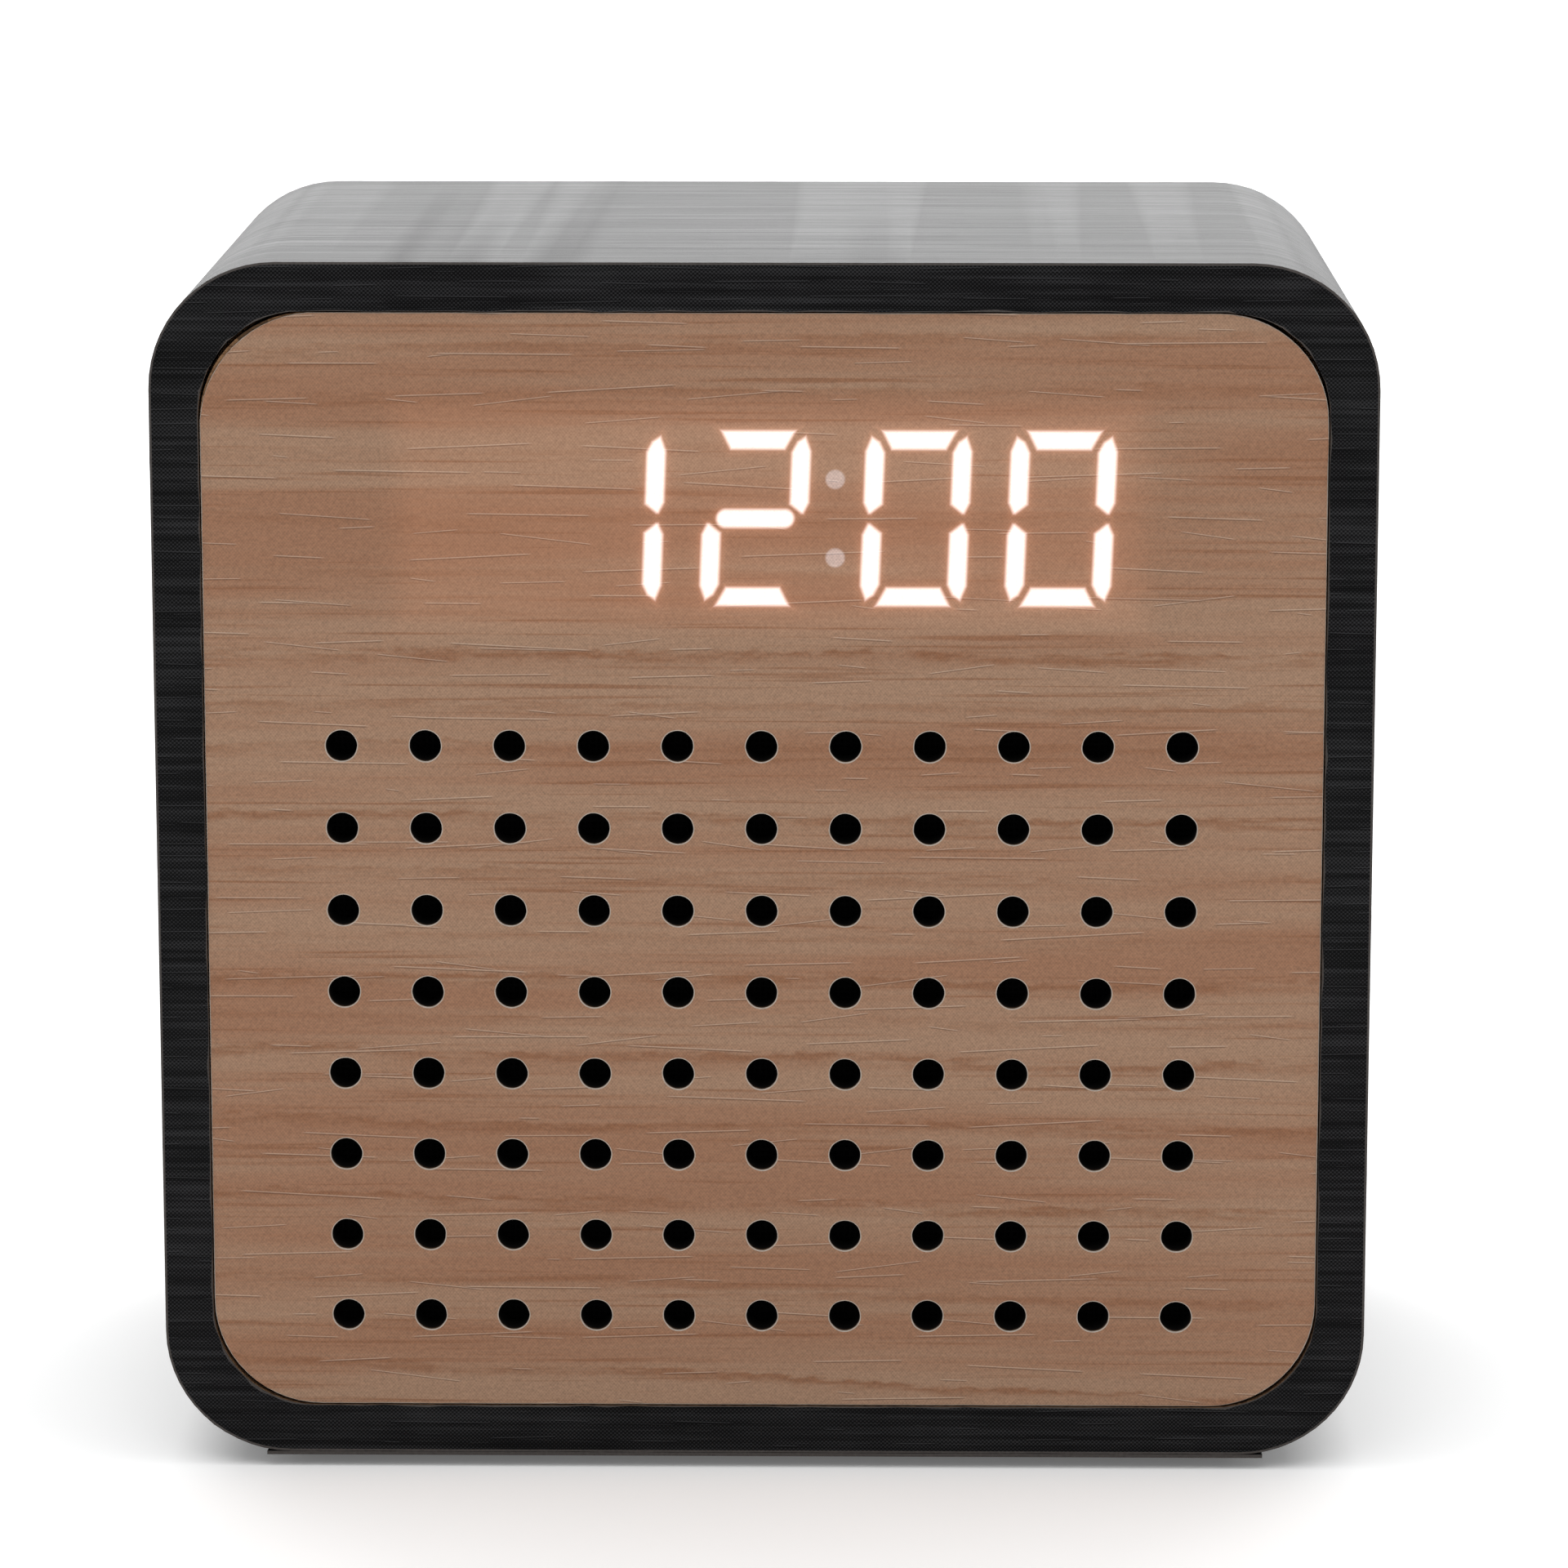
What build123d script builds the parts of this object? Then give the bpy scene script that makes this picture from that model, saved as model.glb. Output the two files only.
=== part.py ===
from build123d import *
import os
from math import cos, radians, sin, tan

# Alarm clock in a wooden case, with a lit display and a speaker behind its front board.
# Millimetres. X is to the right, Y is to the back, Z is up. The origin is on the surface the feet
# stand on, under the middle of the case. The front faces -Y.
# Outlines that face the front are drawn as (x, height above the middle of the front face).

# ---- driving dimensions ---------------------------------------------------------------------
CASE_SIZE = 100.0
CASE_DEPTH = 65.0
CASE_RADIUS = 10.4
OPENING_SIZE = 92.0
OPENING_RADIUS = 8.5
FILM = 0.2
STRIP_HALF_WIDTH = 41.7
STRIP_THICKNESS = 0.3
FOOT_HEIGHT = 1.0
FOOT_RADIUS = 4.0
FOOT_X = 36.0
FOOT_Y = 24.0
FOOT_EDGE = 0.3

BOARD_THICKNESS = 3.0
BOARD_GAP = 0.12
BOARD_RADIUS = 8.9
BOARD_RECESS = 0.2
COVER_THICKNESS = 2.0
COVER_RECESS = 1.0
BLOCK_START = 36.5
BLOCK_GAP = 0.1
COVER_SCREW_AT = 41.0
COVER_PILOT_RADIUS = 1.35
COVER_PILOT_DEPTH = 10.0

HOLE_COLUMNS = 11
HOLE_ROWS = 8
HOLE_PITCH = 6.9
HOLE_RADIUS = 1.3
GRILLE_X = -0.2
GRILLE_HEIGHT = -14.0
CLOTH_THICKNESS = 0.3
CLOTH_HALF_WIDTH = 36.2
CLOTH_HALF_HEIGHT = 25.8

SHANK_RADIUS = 1.1
PILOT_RADIUS = 1.15
PILOT_DEPTH = 2.4
PILOT_GAP = 0.2
SCREW_HOLE_RADIUS = 1.3
CROSS_SHARE = 1.1
CROSS_WIDTH = 0.5
CROSS_DEPTH_SHARE = 0.6

WINDOW_WIDTH = 62.0
WINDOW_HEIGHT = 19.6
WINDOW_RADIUS = 1.5
WINDOW_X = 0.5
WINDOW_Z = 29.3
DIGIT_CENTRES = (-12.5, -0.7, 12.4, 24.2)
DIGIT_Z = 29.07
DIGIT_HALF_WIDTH = 4.4
DIGIT_HALF_HEIGHT = 7.3
BAR_WIDTH = 1.7
DIGIT_SLANT = 2.2
COLON_X = 5.8
COLON_RISE = 3.23
COLON_RADIUS = 0.9
SIGN_X = -24.7
DIFFUSER_DEPTH = 1.2
FIT = 0.05
REFLECTOR_GAP = 0.15
REFLECTOR_FLANGE = 2.0
REFLECTOR_DEPTH = 6.0
FLANGE_MARGIN = 2.0
DISPLAY_SCREW_X = 33.0
DISPLAY_HEAD_RADIUS = 1.9
DISPLAY_HEAD_HEIGHT = 1.2
CHIP_SIZE = 0.8
CHIP_HEIGHT = 0.7
RIBBON_WIDTH = 14.0
RIBBON_THICKNESS = 0.5
RIBBON_BEND = 5.0

GASKET_THICKNESS = 0.8
FLANGE_THICKNESS = 1.0
FLANGE_WIDTH = 55.0
FLANGE_HEIGHT = 48.0
FLANGE_CORNER = 4.0
BASKET_INNER = 21.6
BASKET_DEPTH = 14.0
BASKET_SHEET = 1.0
SEAT_STEP = 1.8
SEAT_RADIUS = 20.4
SPIDER_RADIUS = 17.0
SPIDER_DEPTH = 9.5
SPIDER_THICKNESS = 0.4
BASKET_WELL = 15.2
BASKET_BORE = 8.2
WINDOW_CUT = (8.0, 4.4, 16.0)
WINDOW_CUT_RADIUS = 20.0
WINDOW_CUT_DEPTH = 5.6
TOP_PLATE_THICKNESS = 3.0
MAGNET_THICKNESS = 7.0
YOKE_THICKNESS = 2.5
PLATE_RADIUS = 16.0
PLATE_BORE = 7.6
MAGNET_RADIUS = 17.5
MAGNET_BORE = 9.5
POLE_RADIUS = 6.4
FORMER_INNER = 6.75
FORMER_OUTER = 6.95
WINDING_OUTER = 7.3
WINDING_LENGTH = 4.2
WINDING_PAST_PLATE = 0.5
CONE_RIM = 17.0
CONE_START = 1.6
CONE_DEPTH = 5.7
CONE_NECK = 6.0
PAPER = 0.4
CAP_RADIUS = 6.9
CAP_RISE = 2.0
CAP_THICKNESS = 0.3
ROLL_CENTRE = 18.85
ROLL_OUTER = 1.6
ROLL_INNER = 1.2
ROLL_STEPS = 12
SPEAKER_HEAD_RADIUS = 2.2
SPEAKER_HEAD_HEIGHT = 1.3
WIRE_RADIUS = 0.6

PCB_THICKNESS = 1.6
PCB_BACK = 24.0
PCB_HALF_WIDTH = 35.0
PCB_BOTTOM = 10.0
PCB_TOP = 38.0
PCB_SCREW_X = 31.0
PCB_SCREW_INSET = 3.0
PCB_HEAD_RADIUS = 2.1
PCB_HEAD_HEIGHT = 1.2
BOSS_RADIUS = 2.5
BOSS_PILOT_DEPTH = 4.0

BUTTON_Z = 30.0
BUTTON_PITCH = 12.0
BUTTON_RADIUS = 3.5
BUTTON_GAP = 0.3
BUTTON_TRAVEL = 0.7
BUTTON_FLANGE = 1.1
BUTTON_FLANGE_THICKNESS = 0.9
BUTTON_PROUD = 0.8
BUTTON_EDGE = 0.4
STEM_RADIUS = 1.6
SIGN_DEPTH = 0.2
SWITCH_SIZE = 6.0
SWITCH_HEIGHT = 3.1
SWITCH_WELL_RADIUS = 1.95
SWITCH_FLOOR = 0.6
CONTROL_Z = 17.0
SLIDER_X = -19.0
SLIDER_TRAVEL = 3.0
SLIDER_CASE = (10.0, 5.0)
SLIDER_CASE_HEIGHT = 3.6
SLIDER_FLOOR = 1.2
SLIDER_OPENING = (8.0, 3.6)
KNOB_TIP = (3.6, 2.8)
KNOB_PLATE = (9.0, 5.4)
KNOB_PLATE_THICKNESS = 0.9
KNOB_STEM = 1.6
KNOB_PROUD = 0.6
KNOB_GROOVE = 0.35
KNOB_GROOVE_PITCH = 0.9
INLET_WIDTH = 7.6
INLET_HEIGHT = 2.8
INLET_SHEET = 0.3
INLET_CORNER = 0.9
INLET_SUNK = 0.6
TONGUE_HALF_WIDTH = 1.9
TONGUE_BASE = 1.5

COVER_EDGE = 0.4
COVER_LIP = 1.2
COVER_LIP_DEPTH = 4.0
COVER_LIP_HALF_LENGTH = 30.0
COVER_HEAD_RADIUS = 2.5
COVER_HEAD_HEIGHT = 1.1
COVER_HEAD_SUNK = 1.2
COVER_HEAD_HOLE = 2.8
COVER_SHANK_RADIUS = 1.3
COVER_SCREW_HOLE = 1.6
COVER_SCREW_LENGTH = 9.5

HATCH_HALF_WIDTH = 26.0
HATCH_BOTTOM = -37.0
HATCH_TOP = 1.0
DOOR_THICKNESS = 1.6
DOOR_GAP = 0.35
TRAY_LEDGE = 3.0
TRAY_WALL = 1.4
TRAY_FLOOR = 17.0
CELL_RADIUS = 5.25
CELL_LENGTH = 44.5
CELL_PITCH = 11.3
CELL_TIP_RADIUS = 1.9
CELL_TIP_LENGTH = 1.0
CELL_REST_GAP = 0.15
CELL_RIB_HALF_LENGTH = 18.0
CELL_RIB_HEIGHT = 2.5
CELL_RIB_THICKNESS = 0.5
CONTACT_THICKNESS = 0.4
CONTACT_HALF = 4.5
BUMP = 1.2
BUMP_RADIUS = 1.5
SPRING_BASE = 3.6
SPRING_TIP = 2.2
DOOR_GRIP = (12.0, 4.0)
DOOR_GRIP_DEPTH = 0.7
DOOR_GRIP_FROM_TOP = 5.0
DOOR_GROOVES = 3
DOOR_GROOVE_DEPTH = 0.3
DOOR_GROOVE_PITCH = 1.6
TAB_NEAR = 12.0
TAB_FAR = 18.0
TAB_THICKNESS = 1.2
TAB_REACH = 2.2
TONGUE_HALF = 5.0
TONGUE_THICKNESS = 0.8
TONGUE_REACH = 2.6

# ---- worked out from them -------------------------------------------------------------------
FACE_Z = FOOT_HEIGHT + STRIP_THICKNESS + CASE_SIZE / 2
CASE_FRONT = -CASE_DEPTH / 2
CASE_BACK = CASE_DEPTH / 2
FILM_FRONT = CASE_FRONT + BOARD_RECESS
BOARD_FRONT = FILM_FRONT + FILM
BOARD_BACK = BOARD_FRONT + BOARD_THICKNESS
BOARD_SIZE = OPENING_SIZE - 2 * BOARD_GAP
COVER_BACK = CASE_BACK - COVER_RECESS
COVER_FRONT = COVER_BACK - COVER_THICKNESS
PCB_FRONT = PCB_BACK - PCB_THICKNESS
GASKET_FRONT = BOARD_BACK + CLOTH_THICKNESS
PILOT_FRONT = BOARD_BACK - PILOT_DEPTH
SCREW_TIP = PILOT_FRONT + PILOT_GAP
REFLECTOR_BACK = BOARD_BACK + REFLECTOR_DEPTH
FLANGE_FRONT = GASKET_FRONT + GASKET_THICKNESS
FLANGE_BACK = FLANGE_FRONT + FLANGE_THICKNESS
SEAT_BACK = FLANGE_FRONT + SEAT_STEP
SPIDER_SEAT = FLANGE_FRONT + SPIDER_DEPTH
BASKET_END = FLANGE_FRONT + BASKET_DEPTH
PLATE_END = BASKET_END + TOP_PLATE_THICKNESS
MAGNET_END = PLATE_END + MAGNET_THICKNESS
YOKE_END = MAGNET_END + YOKE_THICKNESS
CONE_FRONT = FLANGE_FRONT + CONE_START
CONE_BACK = CONE_FRONT + CONE_DEPTH
SWITCH_BACK = PCB_BACK + SWITCH_HEIGHT
SLIDER_CASE_BACK = PCB_BACK + SLIDER_CASE_HEIGHT
INLET_BACK = COVER_BACK - INLET_SUNK
HATCH_MIDDLE = (HATCH_BOTTOM + HATCH_TOP) / 2
TIP_PLATE = HATCH_HALF_WIDTH - CONTACT_THICKNESS
BUTTON_XS = [BUTTON_PITCH * (place - 2) for place in range(5)]
CELL_Y = TRAY_FLOOR + CELL_RADIUS + CELL_REST_GAP
CELL_ZS = [HATCH_MIDDLE + CELL_PITCH * (place - 1) for place in range(3)]
SIDES = (-1, 1)
CORNERS = [(across, up) for across in SIDES for up in SIDES]


# ---- shapes that several pieces share -------------------------------------------------------
def facing_front(y):
    """The plane at depth y whose x is the clock's X and whose y is its height."""
    return Plane((0, y, FACE_Z), x_dir=(1, 0, 0), z_dir=(0, -1, 0))


def prism(outline, front, back):
    """An outline that faces the front, made solid from one depth to another."""
    return extrude(facing_front(back) * outline, back - front)


def at(x, z, outline):
    return Pos(x, z) * outline


def box(x, y, z):
    """A box from three (low, high) pairs, with z measured from the middle of the face."""
    outline = Rectangle(x[1] - x[0], z[1] - z[0])
    return prism(at((x[0] + x[1]) / 2, (z[0] + z[1]) / 2, outline), y[0], y[1])


def polygon(*points):
    return make_face(Polyline(*points, close=True))


def turned(*section):
    """A turned piece about the speaker's axis, from points (radius, depth)."""
    whole = revolve(polygon(*section), Axis.Y)
    return Pos(0, 0, FACE_Z + GRILLE_HEIGHT) * whole


def separate(pieces):
    """Several solids kept apart in one node."""
    return Compound(children=[solid for piece in pieces for solid in piece.solids()])


def screw(x, z, seat, tip, head_radius, head_height, shank_radius, toward_back=True):
    """A cross-head screw along Y: its head lies on seat, its shank ends at tip."""
    head_end = seat + head_height if toward_back else seat - head_height
    head = prism(at(x, z, Circle(head_radius)), min(seat, head_end), max(seat, head_end))
    shank = prism(at(x, z, Circle(shank_radius)), min(seat, tip), max(seat, tip))
    depth = head_height * CROSS_DEPTH_SHARE
    recess_end = head_end - depth if toward_back else head_end + depth
    low, high = min(head_end, recess_end), max(head_end, recess_end)
    reach = head_radius * CROSS_SHARE
    cross = Rectangle(reach, CROSS_WIDTH) + Rectangle(CROSS_WIDTH, reach)
    return head + shank - prism(at(x, z, cross), low, high)


def wire(corner, *points):
    """A round wire through points (x, y, height), with its corners rounded."""
    raised = [(x, y, z + FACE_Z) for x, y, z in points]
    path = FilletPolyline(*raised, radius=corner)
    start = Plane(origin=path @ 0, z_dir=path % 0)
    return sweep(start * Circle(WIRE_RADIUS), path=path)


# ---- case -----------------------------------------------------------------------------------
def case_tube():
    size = CASE_SIZE - 2 * FILM
    outer = RectangleRounded(size, size, CASE_RADIUS - FILM)
    return prism(outer - case_opening(), CASE_FRONT + FILM, CASE_BACK - FILM)


def case_opening():
    return RectangleRounded(OPENING_SIZE, OPENING_SIZE, OPENING_RADIUS)


def case_wrap_film():
    size = CASE_SIZE - 2 * FILM
    outer = RectangleRounded(CASE_SIZE, CASE_SIZE, CASE_RADIUS)
    inner = RectangleRounded(size, size, CASE_RADIUS - FILM)
    return prism(outer - inner, CASE_FRONT, CASE_BACK)


def rim_film(front):
    size = CASE_SIZE - 2 * FILM
    outer = RectangleRounded(size, size, CASE_RADIUS - FILM)
    return prism(outer - case_opening(), front, front + FILM)


def base_strip():
    bottom = -CASE_SIZE / 2 - STRIP_THICKNESS
    across = (-STRIP_HALF_WIDTH, STRIP_HALF_WIDTH)
    return box(across, (CASE_FRONT, CASE_BACK), (bottom, bottom + STRIP_THICKNESS))


def feet():
    pads = []
    for across, along in CORNERS:
        pad = Cylinder(FOOT_RADIUS, FOOT_HEIGHT)
        pad = fillet(pad.edges().group_by(Axis.Z)[0], FOOT_EDGE)
        pads.append(Pos(across * FOOT_X, along * FOOT_Y, FOOT_HEIGHT / 2) * pad)
    return separate(pads)


def corner_blocks():
    reach = CASE_SIZE / 2
    inner = OPENING_SIZE - 2 * BLOCK_GAP
    inside = RectangleRounded(inner, inner, OPENING_RADIUS - BLOCK_GAP)
    blocks = []
    for across, up in CORNERS:
        middle = (BLOCK_START + reach) / 2
        square = at(across * middle, up * middle, Rectangle(reach - BLOCK_START, reach - BLOCK_START))
        block = prism(square & inside, BOARD_BACK, COVER_FRONT)
        pilot = at(across * COVER_SCREW_AT, up * COVER_SCREW_AT, Circle(COVER_PILOT_RADIUS))
        blocks.append(block - prism(pilot, COVER_FRONT - COVER_PILOT_DEPTH, COVER_FRONT))
    return separate(blocks)


# ---- front board, its film and the cloth behind it ------------------------------------------
def sound_holes():
    grid = GridLocations(HOLE_PITCH, HOLE_PITCH, HOLE_COLUMNS, HOLE_ROWS)
    return Pos(GRILLE_X, GRILLE_HEIGHT) * grid * Circle(HOLE_RADIUS)


def board_outline():
    return RectangleRounded(BOARD_SIZE, BOARD_SIZE, BOARD_RADIUS)


def front_film():
    return prism(board_outline() - sound_holes(), FILM_FRONT, BOARD_FRONT)


def front_board():
    window = at(WINDOW_X, WINDOW_Z, RectangleRounded(WINDOW_WIDTH, WINDOW_HEIGHT, WINDOW_RADIUS))
    board = prism(board_outline() - window - sound_holes(), BOARD_FRONT, BOARD_BACK)
    for x, z in speaker_screw_places() + display_screw_places():
        board -= prism(at(x, z, Circle(PILOT_RADIUS)), PILOT_FRONT, BOARD_BACK)
    return board


def speaker_cloth():
    cloth = Rectangle(2 * CLOTH_HALF_WIDTH, 2 * CLOTH_HALF_HEIGHT)
    piece = prism(at(0, GRILLE_HEIGHT, cloth), BOARD_BACK, GASKET_FRONT)
    for x, z in speaker_screw_places():
        piece -= prism(at(x, z, Circle(SCREW_HOLE_RADIUS)), BOARD_BACK, GASKET_FRONT)
    return piece


# ---- display --------------------------------------------------------------------------------
def display_screw_places():
    return [(WINDOW_X + side * DISPLAY_SCREW_X, WINDOW_Z) for side in SIDES]


def upright_bar(side, end):
    """One upright bar: side is left or right, end is the lower or upper half of the digit."""
    outer = DIGIT_HALF_WIDTH
    inner = outer - BAR_WIDTH
    tip = DIGIT_HALF_HEIGHT - 0.45
    points = [
        (outer, 1.3), (outer, tip - 1.3), (outer - 0.5, tip), (inner + 0.45, tip - 0.5),
        (inner, tip - 1.4), (inner, 1.15), (inner + 1.0, 0.35), (outer - 0.45, 0.35),
    ]
    return [(side * x, end * z) for x, z in points]


def level_bar(end):
    """The top or bottom bar, wider on its outer side."""
    outer = DIGIT_HALF_HEIGHT
    inner = outer - BAR_WIDTH
    half = DIGIT_HALF_WIDTH - 1.25
    points = [(-half, outer), (half, outer), (half - 0.9, inner), (0.9 - half, inner)]
    return [(x, end * z) for x, z in points]


def middle_bar():
    half = DIGIT_HALF_WIDTH - 1.15
    high = BAR_WIDTH / 2
    shoulder = half - 0.5
    upper = [(-half, 0), (-shoulder, high), (shoulder, high)]
    return upper + [(half, 0), (shoulder, -high), (-shoulder, -high)]


def leaned(points, centre):
    """A bar's outline in its digit, leaned to the right by the digits' slant."""
    slope = tan(radians(DIGIT_SLANT))
    return polygon(*[(centre + x + z * slope, DIGIT_Z + z) for x, z in points])


def digit_bars(centre):
    bars = [upright_bar(side, end) for side in SIDES for end in SIDES]
    bars += [level_bar(1), level_bar(-1), middle_bar()]
    return [leaned(bar, centre) for bar in bars]


def colon_dots_outline():
    return [at(COLON_X, DIGIT_Z + side * COLON_RISE, Circle(COLON_RADIUS)) for side in SIDES]


def indicator_outlines():
    """The unlit signs left of the digits: a loudspeaker above, a bell below."""
    horn = polygon((-2.6, -0.9), (-1.4, -0.9), (0.6, -2.4), (0.6, 2.4), (-1.4, 0.9), (-2.6, 0.9))
    wave = polygon((1.4, -1.6), (2.1, -1.6), (2.9, 0), (2.1, 1.6), (1.4, 1.6), (2.1, 0))
    dome = Circle(1.7) + polygon((-1.7, 0), (1.7, 0), (2.5, -2.2), (-2.5, -2.2))
    clapper = Pos(0, -2.9) * Rectangle(1.4, 0.7)
    signs = [(33.4, horn), (33.4, wave), (26.3, dome), (26.3, clapper)]
    return [at(SIGN_X, z, sign) for z, sign in signs]


def display_outlines():
    outlines = colon_dots_outline() + indicator_outlines()
    for centre in DIGIT_CENTRES:
        outlines += digit_bars(centre)
    return outlines


def display_reflector():
    gap = REFLECTOR_GAP
    nose = RectangleRounded(WINDOW_WIDTH - 2 * gap, WINDOW_HEIGHT - 2 * gap, WINDOW_RADIUS - gap)
    margin = FLANGE_MARGIN
    flange = RectangleRounded(2 * (DISPLAY_SCREW_X + margin), WINDOW_HEIGHT + 2 * margin, margin)
    body = prism(at(WINDOW_X, WINDOW_Z, nose), BOARD_FRONT, REFLECTOR_BACK)
    body += prism(at(WINDOW_X, WINDOW_Z, flange), BOARD_BACK, BOARD_BACK + REFLECTOR_FLANGE)
    for outline in display_outlines():
        body -= prism(outline, BOARD_FRONT, REFLECTOR_BACK)
    for x, z in display_screw_places():
        hole = at(x, z, Circle(SCREW_HOLE_RADIUS))
        body -= prism(hole, BOARD_BACK, BOARD_BACK + REFLECTOR_FLANGE)
    return body


def diffusers(outlines):
    shrunk = [offset(outline, -FIT) for outline in outlines]
    back = BOARD_FRONT + DIFFUSER_DEPTH
    return separate([prism(outline, BOARD_FRONT, back) for outline in shrunk])


def led_chips():
    """One chip behind every bar and dot, and behind the two larger parts of the signs."""
    horn, _, dome, _ = indicator_outlines()
    outlines = colon_dots_outline() + [horn, dome]
    for centre in DIGIT_CENTRES:
        outlines += digit_bars(centre)
    chips = []
    for outline in outlines:
        middle = outline.center()
        chip = at(middle.X, middle.Y, Rectangle(CHIP_SIZE, CHIP_SIZE))
        chips.append(prism(chip, REFLECTOR_BACK - CHIP_HEIGHT, REFLECTOR_BACK))
    return separate(chips)


def display_pcb():
    board = Rectangle(WINDOW_WIDTH + FLANGE_MARGIN, WINDOW_HEIGHT + FLANGE_MARGIN)
    return prism(at(WINDOW_X, WINDOW_Z, board), REFLECTOR_BACK, REFLECTOR_BACK + PCB_THICKNESS)


def display_screws():
    seat = BOARD_BACK + REFLECTOR_FLANGE
    head = (DISPLAY_HEAD_RADIUS, DISPLAY_HEAD_HEIGHT)
    places = display_screw_places()
    return separate([screw(x, z, seat, SCREW_TIP, *head, SHANK_RADIUS) for x, z in places])


def display_ribbon():
    board = REFLECTOR_BACK + PCB_THICKNESS
    points = [(board, 29), (board + 7, 29), (board + 22, 33), (board + 33, 27), (PCB_FRONT, 27)]
    raised = [(0, y, z + FACE_Z) for y, z in points]
    path = FilletPolyline(*raised, radius=RIBBON_BEND)
    start = Plane(origin=path @ 0, x_dir=(1, 0, 0), z_dir=path % 0)
    return sweep(start * Rectangle(RIBBON_WIDTH, RIBBON_THICKNESS), path=path)


# ---- speaker --------------------------------------------------------------------------------
def speaker_screw_places():
    return [(across * 3.5 * HOLE_PITCH, GRILLE_HEIGHT + up * 3 * HOLE_PITCH) for across, up in CORNERS]


def flange_outline():
    plate = RectangleRounded(FLANGE_WIDTH, FLANGE_HEIGHT, FLANGE_CORNER)
    return at(0, GRILLE_HEIGHT, plate - Circle(BASKET_INNER))


def speaker_gasket():
    ring = prism(flange_outline(), GASKET_FRONT, FLANGE_FRONT)
    for x, z in speaker_screw_places():
        ring -= prism(at(x, z, Circle(SCREW_HOLE_RADIUS)), GASKET_FRONT, FLANGE_FRONT)
    return ring


def speaker_basket():
    """Pressed sheet: a flange, a wide bowl with four windows, and a well for the top plate."""
    front = FLANGE_FRONT
    sheet = BASKET_SHEET
    seat = (SEAT_RADIUS, SEAT_BACK)
    ledge = (SPIDER_RADIUS + 0.4, SPIDER_SEAT)
    inner = [(BASKET_INNER, front), (BASKET_INNER, SEAT_BACK), seat, ledge]
    inner += [(BASKET_WELL, SPIDER_SEAT), (BASKET_WELL, BASKET_END - sheet)]
    inner.append((BASKET_BORE, BASKET_END - sheet))
    outer = [(BASKET_BORE, BASKET_END), (BASKET_WELL + sheet, BASKET_END)]
    outer += [(BASKET_WELL + sheet, SPIDER_SEAT + sheet), (SPIDER_RADIUS + 1.1, SPIDER_SEAT + sheet)]
    outer += [(BASKET_INNER + sheet, SEAT_BACK + 0.6), (BASKET_INNER + sheet, front)]
    frame = prism(flange_outline(), front, FLANGE_BACK) + turned(*inner, *outer)
    for quarter in range(4):
        turn = Rot(0, 45 + 90 * quarter, 0)
        opening = Pos(0, front + WINDOW_CUT_DEPTH, FACE_Z + GRILLE_HEIGHT) * turn
        frame -= opening * Pos(WINDOW_CUT_RADIUS, 0, 0) * Box(*WINDOW_CUT)
    for x, z in speaker_screw_places():
        frame -= prism(at(x, z, Circle(SCREW_HOLE_RADIUS)), front, FLANGE_BACK)
    return frame


def turned_ring(inner, outer, front, back):
    return turned((inner, front), (outer, front), (outer, back), (inner, back))


def top_plate():
    return turned_ring(PLATE_BORE, PLATE_RADIUS, BASKET_END, PLATE_END)


def magnet():
    return turned_ring(MAGNET_BORE, MAGNET_RADIUS, PLATE_END, MAGNET_END)


def yoke():
    return turned(
        (0, BASKET_END), (POLE_RADIUS, BASKET_END), (POLE_RADIUS, MAGNET_END),
        (PLATE_RADIUS, MAGNET_END), (PLATE_RADIUS, YOKE_END), (0, YOKE_END),
    )


def cone():
    """A straight paper cone, glued to the surround at its rim and to the coil at its neck."""
    return turned(
        (CONE_RIM, CONE_FRONT), (CONE_RIM, CONE_FRONT + PAPER), (7.2, CONE_BACK + PAPER),
        (CONE_NECK, CONE_BACK + PAPER), (CONE_NECK, CONE_BACK), (7.1, CONE_BACK),
    )


def dust_cap():
    """A shallow dome that closes the cone's neck."""
    rim = CONE_BACK - 0.1
    ball = (CAP_RADIUS * CAP_RADIUS + CAP_RISE * CAP_RISE) / (2 * CAP_RISE)
    shell = Sphere(ball) - Sphere(ball - CAP_THICKNESS)
    keep = Pos(0, -ball, 0) * Box(3 * CAP_RADIUS, 2 * CAP_RISE, 3 * CAP_RADIUS)
    return Pos(0, rim - CAP_RISE + ball, FACE_Z + GRILLE_HEIGHT) * (shell & keep)


def voice_coil():
    front = CONE_BACK + PAPER + 0.05
    end = PLATE_END + WINDING_PAST_PLATE
    winding = end - WINDING_LENGTH
    return turned(
        (FORMER_INNER, front), (FORMER_OUTER, front), (FORMER_OUTER, winding),
        (WINDING_OUTER, winding), (WINDING_OUTER, end), (FORMER_INNER, end),
    )


def half_roll(radius, direction):
    """Points round the surround's roll, from its inner side out or from its outer side in."""
    turns = [radians(180 * step / ROLL_STEPS) for step in range(ROLL_STEPS + 1)]
    base = SEAT_BACK - PAPER
    return [(ROLL_CENTRE - direction * radius * cos(turn), base - radius * sin(turn)) for turn in turns]


def surround():
    """Half-roll ring between the cone's edge and the basket."""
    lip = [(BASKET_INNER - 0.1, SEAT_BACK - PAPER), (BASKET_INNER - 0.1, SEAT_BACK)]
    lip.append((ROLL_CENTRE + ROLL_INNER, SEAT_BACK))
    return turned(*half_roll(ROLL_OUTER, 1), *lip, *half_roll(ROLL_INNER, -1))


def spider():
    return turned_ring(7.2, SPIDER_RADIUS, SPIDER_SEAT - SPIDER_THICKNESS, SPIDER_SEAT)


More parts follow.
